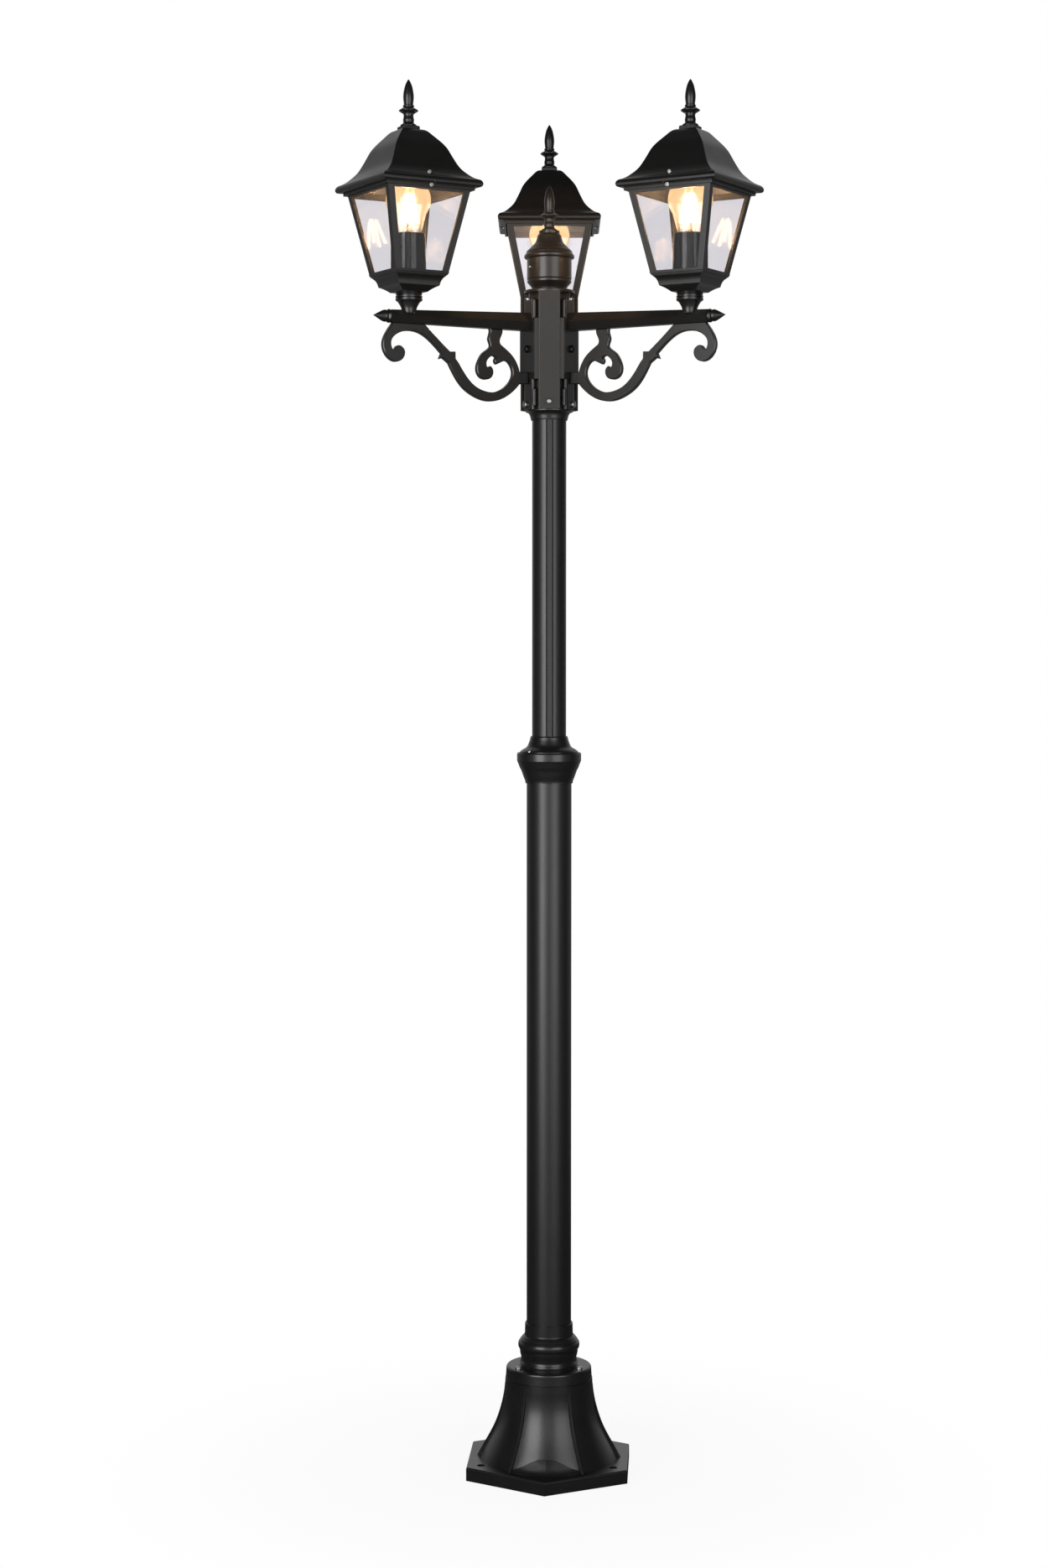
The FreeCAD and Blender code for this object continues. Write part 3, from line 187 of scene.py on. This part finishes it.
class Wiring:
    """A node tree while it is being made."""

    def __init__(self, tree):
        self.tree = tree

    def put(self, kind, settings=None, inputs=None, output=0):
        """Any node: its type, its settings, the values or links of its sockets."""
        node = self.tree.nodes.new("ShaderNode" + kind)
        for name, value in (settings or {}).items():
            setattr(node, name, value)
        for name, value in (inputs or {}).items():
            if isinstance(value, Flow):
                self.tree.links.new(value.socket, node.inputs[name])
            else:
                node.inputs[name].default_value = value
        return Flow(self, node.outputs[output])

    def along(self, axis, space="Object"):
        """One axis of the texture coordinates."""
        return self.put("SeparateXYZ", {}, {0: self.put("TexCoord", output=space)}, output=axis)

    def ramp(self, value, start, end, low=0.0, high=1.0, style="SMOOTHSTEP"):
        """Goes from low to high while the value goes from start to end."""
        return self.put("MapRange", {"interpolation_type": style},
                        {"Value": value, "From Min": start, "From Max": end,
                         "To Min": low, "To Max": high})

    def in_gloss(self):
        """1 where a glossy surface shows this place, 0 elsewhere."""
        return self.put("LightPath", output="Glossy Depth").above(no_bounce)

    def outside(self):
        """1 on paths that haven't gone through glass, 0 on the others."""
        return self.put("LightPath", output="Transmission Depth").below(no_bounce)

    def open_view(self):
        """1 where the camera looks straight here or through glass, 0 for light on its way."""
        first = self.put("Math", {"operation": "MAXIMUM"},
                         {0: self.put("LightPath", output="Is Camera Ray"),
                          1: self.put("LightPath", output="Is Transmission Ray")})
        bounces = (self.put("LightPath", output="Glossy Depth")
                   + self.put("LightPath", output="Diffuse Depth"))
        return first * bounces.below(no_bounce)


print("wiring ready")

# %% [markdown]
# ## One class for every finish
# Each finish starts from the Principled shader, which covers metal, paint and glass alike. What
# stays the same all over the piece is set on the shader once. What varies, such as colour and
# roughness, is fed from noise in the object's own coordinates, so it sticks to the piece.

# %% Finish of a piece
class Finish(Wiring):
    """A material while it is being made."""

    def __init__(self, name, **constants):
        self.material = bpy.data.materials.new(name)
        self.material.use_nodes = True
        super().__init__(self.material.node_tree)
        self.shader = self.tree.nodes["Principled BSDF"]
        for socket, value in constants.items():
            self.shader.inputs[socket.replace("_", " ")].default_value = value

    def place(self):
        return self.put("TexCoord", output="Object")

    def noise(self, scale, detail=3.0, vector=None):
        """Cloudy noise, with so many cells to a metre."""
        inputs = {"Vector": vector or self.place(), "Scale": scale, "Detail": detail}
        return self.put("TexNoise", {}, inputs)

    def stretched(self, x, y, z):
        return self.put("Mapping", {}, {"Vector": self.place(), "Scale": (x, y, z)})

    def between(self, mask, low, high):
        """A colour between two colours. Sockets 6 and 7 are the Mix node's two colours."""
        mixed = {0: mask, 6: (*low, 1), 7: (*high, 1)}
        return self.put("Mix", {"data_type": "RGBA"}, mixed, output=2)

    def feed(self, socket, flow):
        self.tree.links.new(flow.socket, self.shader.inputs[socket])

    def bump(self, height, strength, distance):
        inputs = {"Height": height, "Strength": strength, "Distance": distance}
        self.feed("Normal", self.put("Bump", {}, inputs))


print("finishes start from the Principled shader")

# %% [markdown]
# ## Grooves of the upper tube
# Five pairs of fine grooves run along the upper tube. The frame has them in its metal, and the
# coat is dull in them, where the spray doesn't reach well and dirt stays. A mask finds them: the
# angle round the pole, folded into one pair's share, gives the distance to a groove.

# %% Groove mask
groove_pairs = 5
pair_azimuth = 271.5        # degrees, the middle of the pair that faces the camera
groove_offset = 0.0042      # from the middle of a pair to each of its grooves
groove_width = 0.0022
upper_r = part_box("upper_tube")[1].x


def groove_bands(finish):
    """1 along the pairs of grooves, by the angle round the pole, 0 between them."""
    turn = finish.put("Math", {"operation": "ARCTAN2"},
                      {0: finish.along("Y"), 1: finish.along("X")})
    from_middle = finish.put("Math", {"operation": "PINGPONG"},
                             {0: turn - math.radians(pair_azimuth), 1: math.pi / groove_pairs})
    groove_at = upper_r * math.asin(groove_offset / upper_r)
    to_groove = finish.put("Math", {"operation": "ABSOLUTE"},
                           {0: from_middle * upper_r - groove_at})
    return to_groove.below(groove_width / 2)


print("upper tube radius", round(upper_r, 4), "with", 2 * groove_pairs, "grooves")

# %% [markdown]
# ## Black powder coat
# Powder coat is sprayed as dust and baked, so it lies thick, softens every edge and dries with a
# fine orange-peel ripple. On a casting it also follows the sand's slight unevenness; on drawn
# tube it is smoother and carries faint lengthwise streaks. The black is nearly colourless. The
# gloss varies more than the colour, because handling and dust dull it in patches.

# %% Powder coat
patch_scale, dust_scale, sand_scale, peel_scale = 9.0, 34.0, 120.0, 620.0
streak_stretch = (260.0, 260.0, 1.6)        # fine round the tube, long along it
coat_dark, coat_light = (0.0045, 0.0045, 0.0046), (0.0095, 0.0095, 0.0091)
patch_colour, dust_colour = 0.6, 0.4        # shares of the two in the colour
coat_roughness, patch_roughness, dust_roughness = 0.235, 0.05, 0.06
groove_dullness = 0.5
peel_share, peel_strength, peel_depth = 0.35, 0.3, 0.00018


def powder_coat(name, unevenness, streaks, grooved=False):
    """Black powder coat over a casting (uneven) or a drawn tube (streaked)."""
    finish = Finish(name, IOR=1.58)
    patches = finish.noise(patch_scale)
    peel = finish.noise(peel_scale, 2.0)
    sand = finish.noise(sand_scale, 4.0)
    dust = finish.noise(dust_scale, 6.0)
    streak = finish.noise(1.0, 3.0, finish.stretched(*streak_stretch))
    shade = patches * patch_colour + dust * dust_colour
    finish.feed("Base Color", finish.between(shade, coat_dark, coat_light))
    rough = (coat_roughness + patches * patch_roughness + dust * dust_roughness
             + streak * streaks)
    if grooved:
        rough = rough + groove_bands(finish) * groove_dullness
    finish.feed("Roughness", rough)
    height = peel * peel_share + sand * unevenness + streak * streaks
    finish.bump(height, peel_strength, peel_depth)
    return finish.material


cast_black = powder_coat("cast_black", 0.9, 0.0)
tube_black = powder_coat("tube_black", 0.15, 0.12)
fluted_black = powder_coat("fluted_black", 0.15, 0.12, True)
plate_black = powder_coat("plate_black", 0.45, 0.0)
print("powder coats:", cast_black.name, tube_black.name, fluted_black.name, plate_black.name)

# %% [markdown]
# ## Small metal
# The screws are zinc plated, with a slightly cloudy silver, and the lamp's screw cap is nickel,
# brighter and smoother. The arm bolts are black.

# %% Zinc, nickel and black steel
cloud_scale, grain_scale = 700.0, 2400.0
cloud_roughness = 0.14
grain_strength, grain_depth = 0.12, 0.00005


def bare_metal(name, dark, light, roughness):
    """Plated or blackened metal with a cloudy gloss and a fine grain."""
    finish = Finish(name, Metallic=1.0)
    cloud = finish.noise(cloud_scale, 4.0)
    finish.feed("Base Color", finish.between(cloud, dark, light))
    finish.feed("Roughness", roughness + cloud * cloud_roughness)
    finish.bump(finish.noise(grain_scale, 2.0), grain_strength, grain_depth)
    return finish.material


zinc = bare_metal("zinc_plate", (0.34, 0.34, 0.33), (0.58, 0.58, 0.56), 0.28)
nickel = bare_metal("nickel_plate", (0.52, 0.50, 0.46), (0.70, 0.68, 0.63), 0.16)
black_steel = bare_metal("black_bolt_steel", (0.02, 0.02, 0.02), (0.05, 0.05, 0.05), 0.34)
print("metals:", zinc.name, nickel.name, black_steel.name)

# %% [markdown]
# ## Moulded plastic and rubber
# The lampholder is a gloss black moulding with a very shallow ripple. The terminal blocks are
# off-white, and the cables and the grommet are dull rubber.

# %% Plastics
blotch_scale, ripple_scale = 70.0, 900.0
blotch_roughness = 0.08
ripple_depth = 0.0001


def moulding(name, dark, light, roughness, ripple, **constants):
    """Moulded plastic or rubber with soft blotches and a shallow ripple."""
    finish = Finish(name, **constants)
    blotches = finish.noise(blotch_scale, 4.0)
    finish.feed("Base Color", finish.between(blotches, dark, light))
    finish.feed("Roughness", roughness + blotches * blotch_roughness)
    finish.bump(finish.noise(ripple_scale, 3.0), ripple, ripple_depth)
    return finish.material


holder_black = moulding("holder_black", (0.005, 0.005, 0.005), (0.010, 0.010, 0.010),
                        0.07, 0.05, Specular_IOR_Level=0.42)
terminal_white = moulding("terminal_white", (0.62, 0.60, 0.53), (0.74, 0.72, 0.66), 0.42, 0.2)
cable_black = moulding("cable_black", (0.012, 0.012, 0.012), (0.026, 0.026, 0.026), 0.62, 0.4)
print("mouldings:", holder_black.name, terminal_white.name, cable_black.name)

# %% [markdown]
# ## Glass
# The panes are clear float glass with a faint lilac tint, a touch of handling haze and full
# mirror reflection, in which the lamp shows as a ghost. The lamp's envelope is warmer and hazier,
# because it stands right round the sticks and scatters a little of their light; that soft bloom
# is a painted warm glow on the glass, strongest at their height. All the glass uses the shader's
# transmission, so that light really passes through it.

# %% Clear glass
smear_scale = 26.0
smear_stretch = (1.0, 1.0, 0.35)
smear_tint = 0.985


def clear_glass(name, tint, haze, **constants):
    """Glass with faint upright smears."""
    finish = Finish(name, Transmission_Weight=1.0, IOR=1.47, **constants)
    smears = finish.noise(smear_scale, 5.0, finish.stretched(*smear_stretch))
    smeared = tuple(smear_tint * part for part in tint)
    finish.feed("Base Color", finish.between(smears, tint, smeared))
    finish.feed("Roughness", smears * haze)
    return finish


def painted_bloom(finish, middle, reach, colour):
    """A painted glow for the light that the lit sticks scatter in the envelope, strongest at
    their height.
    """
    height = (finish.along("Z") - middle) * (1 / reach)
    mask = finish.ramp(height * height, 0.1, 1.0, 1.0, 0.0)
    finish.feed("Emission Color", finish.between(mask, (0.0, 0.0, 0.0), colour))


pane_glass = clear_glass("clear_pane", (0.935, 0.920, 0.950), 0.02).material
# The lamp's glass carries a painted warm glow: its emission, strongest at the sticks' height.
lamp_finish = clear_glass("clear_lamp_painted_glow", (0.985, 0.950, 0.885), 0.26, Emission_Strength=0.26)
bloom_height, bloom_reach = bulb_foot + 0.045, 0.042
painted_bloom(lamp_finish, bloom_height, bloom_reach, (1.0, 0.62, 0.30))
lamp_glass = lamp_finish.material
stem_glass = clear_glass("clear_stem", (0.97, 0.95, 0.90), 0.03).material
print("glass:", pane_glass.name, lamp_glass.name, stem_glass.name)

# %% [markdown]
# ## Finishes onto the frame
# Every node of the frame gets its finish by name. Without the head or the number at its end, a
# name says which piece it is, so one list covers the three heads and the three strips.

# %% Assign finishes
FINISHES = {
    "base_casting": cast_black, "base_collar": cast_black, "mid_collar_cup": cast_black,
    "mid_collar_ring": cast_black, "hub_ring": cast_black, "hub_core": cast_black,
    "hub_cover_socket": cast_black, "hub_cap": cast_black, "cap_finial": cast_black,
    "hub_strip": plate_black, "lower_tube": tube_black, "upper_tube": fluted_black,
    "arm": plate_black, "arm_tip": cast_black, "scroll": plate_black, "neck": cast_black,
    "lantern_frame": cast_black, "roof": cast_black, "finial": cast_black,
    "base_screws": zinc, "mid_collar_screws": zinc, "strip_screws": zinc, "hub_screws": zinc,
    "roof_screws": zinc, "hub_bolts": black_steel, "bulb_cap": nickel,
    "lampholder": holder_black, "supply_connector": terminal_white,
    "terminal_block": terminal_white, "supply_cable": cable_black, "head_leads": cable_black,
    "cable_grommet": cable_black, "glass_panes": pane_glass, "bulb_glass": lamp_glass,
}


def kind_of(node):
    """The piece's name without the head or the number that follows it."""
    stem, ending = node.rsplit("_", 1)
    return stem if ending in HEADS or ending.isdigit() else node


for node_name, node in nodes.items():
    node.data.materials.clear()
    node.data.materials.append(FINISHES[kind_of(node_name)])
print("finishes given to", len(nodes), "nodes")

# %% [markdown]
# ## Turned pieces
# A lathe turns a profile about an axis. Here the profile is a short chain of vertices that
# `bmesh.ops.spin` sweeps through a full turn, with `use_merge` to close the seam. Afterwards the
# points on the axis are merged and the normals made to face outwards, because a spin can turn a
# shape inside out.

# %% Lathe
def as_mesh(name, shape, smooth):
    """The bmesh's faces as a mesh of that name."""
    mesh = bpy.data.meshes.new(name)
    shape.to_mesh(mesh)
    shape.free()
    if smooth:
        for face in mesh.polygons:
            face.use_smooth = True
    return mesh


def lathe(name, profile, steps=64):
    """A turned mesh about the pole's axis, from (radius, height) points."""
    shape = bmesh.new()
    chain = [shape.verts.new((radius, 0, height)) for radius, height in profile]
    edges = [shape.edges.new(pair) for pair in zip(chain, chain[1:])]
    bmesh.ops.spin(shape, geom=chain + edges, cent=(0, 0, 0), axis=(0, 0, 1), angle=math.tau,
                   steps=steps, use_merge=True)
    bmesh.ops.remove_doubles(shape, verts=shape.verts, dist=1e-6)
    bmesh.ops.recalc_face_normals(shape, faces=shape.faces)
    return as_mesh(name, shape, True)


print("lathe ready")

# %% [markdown]
# ## Pieces that ride on the frame
# A lamp turns in its holder, so everything inside it has to turn along. Each piece is tied to the
# body that it belongs to. Where it stands for a plain solid of the frame, it also says which.

# %% Onto a body and a head
def put_on(name, mesh, material, body, replaced=()):
    """Make the mesh a piece that rides on a body of the frame."""
    obj = bpy.data.objects.new(name, mesh)
    mesh.materials.clear()
    mesh.materials.append(material)
    bpy.context.scene.collection.objects.link(obj)
    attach(obj, body)
    if replaced:
        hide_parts(*replaced)
    return obj


def on_head(name, mesh, head, material, body, replaced=()):
    """A copy of the mesh, carried out to its head and riding there."""
    copy = mesh.copy()
    copy.transform(head_place(head))
    return put_on(name + "_" + head, copy, material, body, replaced)


# %% [markdown]
# ## The lamp's envelope
# A blown envelope is a sphere that runs into a neck in one curve. Its wall is under a
# millimetre. The profile follows the neck upwards and then the sphere to its top. It is turned
# as a thin skin, and a Solidify modifier gives it the wall.

# %% Lamp envelope
neck_points = [(0.0142, 0.0004), (0.0168, 0.004), (0.0181, 0.011), (0.0205, 0.021)]
                            # (radius, height above the lamp's foot)
join_angle = 38.0           # degrees below the sphere's middle, where the neck runs into it
sphere_steps = 16
envelope_clearance = 0.0001
envelope_wall = 0.0008
envelope_r = bulb_r - envelope_clearance

envelope_profile = [(radius, bulb_foot + height) for radius, height in neck_points]
for step in range(sphere_steps + 1):
    angle = math.radians(-join_angle + (90 + join_angle) * step / sphere_steps)
    envelope_profile.append((envelope_r * math.cos(angle),
                             bulb_centre + envelope_r * math.sin(angle)))
envelope = lathe("envelope", envelope_profile)
for head in HEADS:
    made = on_head("lamp_envelope", envelope, head, lamp_glass, "bulb_" + head,
                   ["bulb_glass_" + head])
    made.visible_shadow = False
    wall = made.modifiers.new("wall", "SOLIDIFY")
    wall.thickness = envelope_wall
    wall.offset = -1
print("envelope", len(envelope.polygons), "faces, top at", round(envelope_profile[-1][1], 4))

# %% [markdown]
# ## Filament sticks
# The lamp holds four straight glowing sticks, which lean together at the top. Each is a strip of
# tiny lit chips in a warm coating, so it glows all along. A capped cylinder with rounded rims is
# enough at this size.

# %% Sticks
stick_count = 4
stick_r, stick_sides = 0.0019, 16
stick_foot = Vector((0.0128, 0, bulb_foot + 0.018))
stick_top = Vector((0.0050, 0, bulb_foot + 0.058))
rim_share = 0.6             # of the stick's radius, how far its rims are rounded
rim_angle = 1.2             # only the rims bend more than this, in radians
stick_strength = 60.0


def strut(shape, start, end, radius, sides):
    """A capped round bar between two points, added to the shape."""
    along = end - start
    turn = along.to_track_quat("Z", "Y").to_matrix().to_4x4()
    place = Matrix.Translation((start + end) / 2) @ turn
    bmesh.ops.create_cone(shape, cap_ends=True, segments=sides, radius1=radius, radius2=radius,
                          depth=along.length, matrix=place)


def around(point, step):
    """The point, carried round the lamp's axis to one of the sticks."""
    return Matrix.Rotation(math.tau * (step + 0.5) / stick_count, 4, "Z") @ point


def glowing(name, strength):
    """A warm coating that glows."""
    finish = Finish(name, Emission_Strength=strength, Roughness=0.5)
    shimmer = finish.noise(900.0, 2.0)
    finish.feed("Base Color", finish.between(shimmer, (0.80, 0.55, 0.20), (0.90, 0.66, 0.28)))
    finish.feed("Emission Color", finish.between(shimmer, (1.0, 0.62, 0.30), (1.0, 0.72, 0.42)))
    return finish.material


filament_glow = glowing("filament_glow", stick_strength)
sticks_shape = bmesh.new()
for step in range(stick_count):
    strut(sticks_shape, around(stick_foot, step), around(stick_top, step), stick_r, stick_sides)
rims = [edge for edge in sticks_shape.edges if edge.calc_face_angle(0) > rim_angle]
bmesh.ops.bevel(sticks_shape, geom=rims, affect="EDGES", offset=stick_r * rim_share, segments=3,
                profile=0.5, material=-1)
sticks = as_mesh("sticks", sticks_shape, True)
print("sticks", stick_count, "per lamp, each",
      round((stick_top - stick_foot).length * 1000, 1), "mm long")

# %% [markdown]
# ## Stem and wires
# A glass stem rises from the lamp's foot and holds the wires. Its foot is flared, where it is
# melted to the envelope, and its top is a thin rod. Short wires carry the sticks from the stem
# and gather them above it.

# %% Stem and wires
stem_points = [(0.0, 0.0005), (0.0122, 0.0005), (0.0112, 0.002), (0.0068, 0.005),
               (0.0042, 0.008), (0.0032, 0.0115), (0.0040, 0.0135), (0.0024, 0.016),
               (0.0014, 0.022), (0.0014, 0.052), (0.0, 0.0525)]
                            # (radius, height above the lamp's foot)
wire_r, wire_sides = 0.0004, 8
wire_foot = Vector((0.0022, 0, bulb_foot + 0.012))
wire_peak = Vector((0, 0, bulb_foot + 0.0595))

stem = lathe("stem", [(radius, bulb_foot + height) for radius, height in stem_points], 32)
wires_shape = bmesh.new()
for step in range(stick_count):
    strut(wires_shape, around(wire_foot, step), around(stick_foot, step), wire_r, wire_sides)
    strut(wires_shape, around(stick_top, step), wire_peak, wire_r, wire_sides)
wires = as_mesh("wires", wires_shape, False)
for head in HEADS:
    body = "bulb_" + head
    on_head("lamp_stem", stem, head, stem_glass, body).visible_shadow = False
    on_head("lamp_sticks", sticks, head, filament_glow, body)
    on_head("lamp_wires", wires, head, nickel, body)
print("stem", len(stem.polygons), "faces, wires", len(wires.polygons), "faces")

# %% [markdown]
# ## The light that the lamps give
# Glowing sticks alone make a noisy picture, because few light paths find them through the glass.
# A small warm point lamp stands among the sticks of each lamp and does the lighting. It is hidden
# from view and from every mirror, which show the sticks themselves. The panes cast no shadow,
# and neither do the lamp's envelope and stem, so that this light comes out of the lantern.

# %% Lamp light
lamp_power = 9.5
lamp_colour = (1.0, 0.58, 0.27)
lamp_r = 0.012
lamp_height = bulb_foot + 0.048
for head in HEADS:
    glow = bpy.data.lights.new("lamp_light_" + head, "POINT")
    glow.energy = lamp_power
    glow.color = lamp_colour
    glow.shadow_soft_size = lamp_r
    glow_place = bpy.data.objects.new("lamp_light_" + head, glow)
    glow_place.location = head_place(head) @ Vector((0, 0, lamp_height))
    glow_place.visible_camera = False
    glow_place.visible_glossy = False
    glow_place.visible_transmission = False
    bpy.context.scene.collection.objects.link(glow_place)
    nodes["glass_panes_" + head].visible_shadow = False
print("lamp power", lamp_power, "W each")

# %% [markdown]
# ## The floor
# The picture has a pure white ground. The floor is a wide pale sheet, just under the foot so that
# the two faces don't fight for the same place.

# %% Floor sheet
floor_size, floor_drop = 30.0, 0.0005
floor_shape = bmesh.new()
bmesh.ops.create_grid(floor_shape, x_segments=2, y_segments=2, size=floor_size,
                      matrix=Matrix.Translation((0, 0, -floor_drop)))
floor_mesh = as_mesh("floor", floor_shape, False)
floor = bpy.data.objects.new("floor", floor_mesh)
bpy.context.scene.collection.objects.link(floor)
print("floor of", len(floor_mesh.polygons), "faces")

# %% [markdown]
# ## What the floor shows
# The camera sees the floor as white, but near the foot a small share of the lit sheet is left,
# and with it a soft shadow. Light on its way meets the sheet itself. In the gloss of the black
# coat a white floor would turn the metal grey, so there the floor is dark near the post and
# paler far from it, in front and, more weakly, behind.

# %% Floor finish
floor_finish = Finish("floor_pale", Roughness=0.9, Specular_IOR_Level=0.1)
paper = floor_finish.noise(3.0, 4.0)
floor_finish.feed("Base Color",
                  floor_finish.between(paper, (0.80, 0.80, 0.80), (0.84, 0.84, 0.84)))


def sheet_glow(strength):
    """White light of one strength from the floor."""
    return floor_finish.put("Emission", {}, {"Color": (1, 1, 1, 1), "Strength": strength})


def mixed(share, first, second):
    """Two shaders of the floor in one."""
    return floor_finish.put("MixShader", {}, {0: share, 1: first, 2: second})


shadow_start, shadow_end = 0.1, 0.75        # metres from the pole
shadow_white = 0.92                         # white share in the shadow's middle
front_start, front_end = -0.7, -2.2         # metres along Y
behind_start, behind_end = 0.9, 2.6
behind_share = 0.45
near_gloss, far_gloss = 0.05, 0.40

distance = floor_finish.put("VectorMath", {"operation": "LENGTH"},
                            {0: floor_finish.place()}, output="Value")
white_share = floor_finish.ramp(distance, shadow_start, shadow_end, shadow_white, 1.0)
depth = floor_finish.along("Y")
far_front = floor_finish.ramp(depth, front_start, front_end)
far_behind = floor_finish.ramp(depth, behind_start, behind_end)
far_share = far_front + far_behind * floor_finish.outside() * behind_share
mirrored = mixed(far_share, sheet_glow(near_gloss), sheet_glow(far_gloss))
lit_sheet = Flow(floor_finish, floor_finish.shader.outputs[0])
not_viewed = mixed(floor_finish.in_gloss(), lit_sheet, mirrored)
shown = mixed(floor_finish.open_view() * white_share, not_viewed, sheet_glow(1.0))
floor_finish.tree.links.new(shown.socket, floor_finish.tree.nodes["Material Output"].inputs[0])
floor_mesh.materials.append(floor_finish.material)
print("floor finish of", len(floor_finish.tree.nodes), "nodes")

# %% [markdown]
# ## White surroundings
# The surroundings are white to the camera, straight and through glass. To the light that falls on
# the post they are a dim grey, so that the soft boxes do the work. The gloss sees them almost
# black in front and paler behind the post, which draws a thin bright line along the metal's
# edges. After glass the gloss sees nothing of them, which keeps the lanterns' insides deep.

# %% Surroundings
sheen_start, sheen_end = 0.30, 1.0          # how far a direction points behind the post
sheen_low, sheen_high = 0.03, 0.65
grey_level = 0.22

world = bpy.data.worlds.new("studio")
bpy.context.scene.world = world
world.use_nodes = True
sky = Wiring(world.node_tree)
sheen = sky.ramp(sky.along("Y", "Generated"), sheen_start, sheen_end, sheen_low, sheen_high,
                 "LINEAR")
glossy = sky.in_gloss()
unseen = glossy * sky.outside() * sheen + (1 - glossy) * grey_level
level = sky.put("Math", {"operation": "MAXIMUM"}, {0: sky.open_view(), 1: unseen})
background = world.node_tree.nodes["Background"]
background.inputs["Color"].default_value = (1, 1, 1, 1)
world.node_tree.links.new(level.socket, background.inputs["Strength"])
bpy.context.scene.view_settings.view_transform = "Standard"
print("surroundings of", len(world.node_tree.nodes), "nodes")
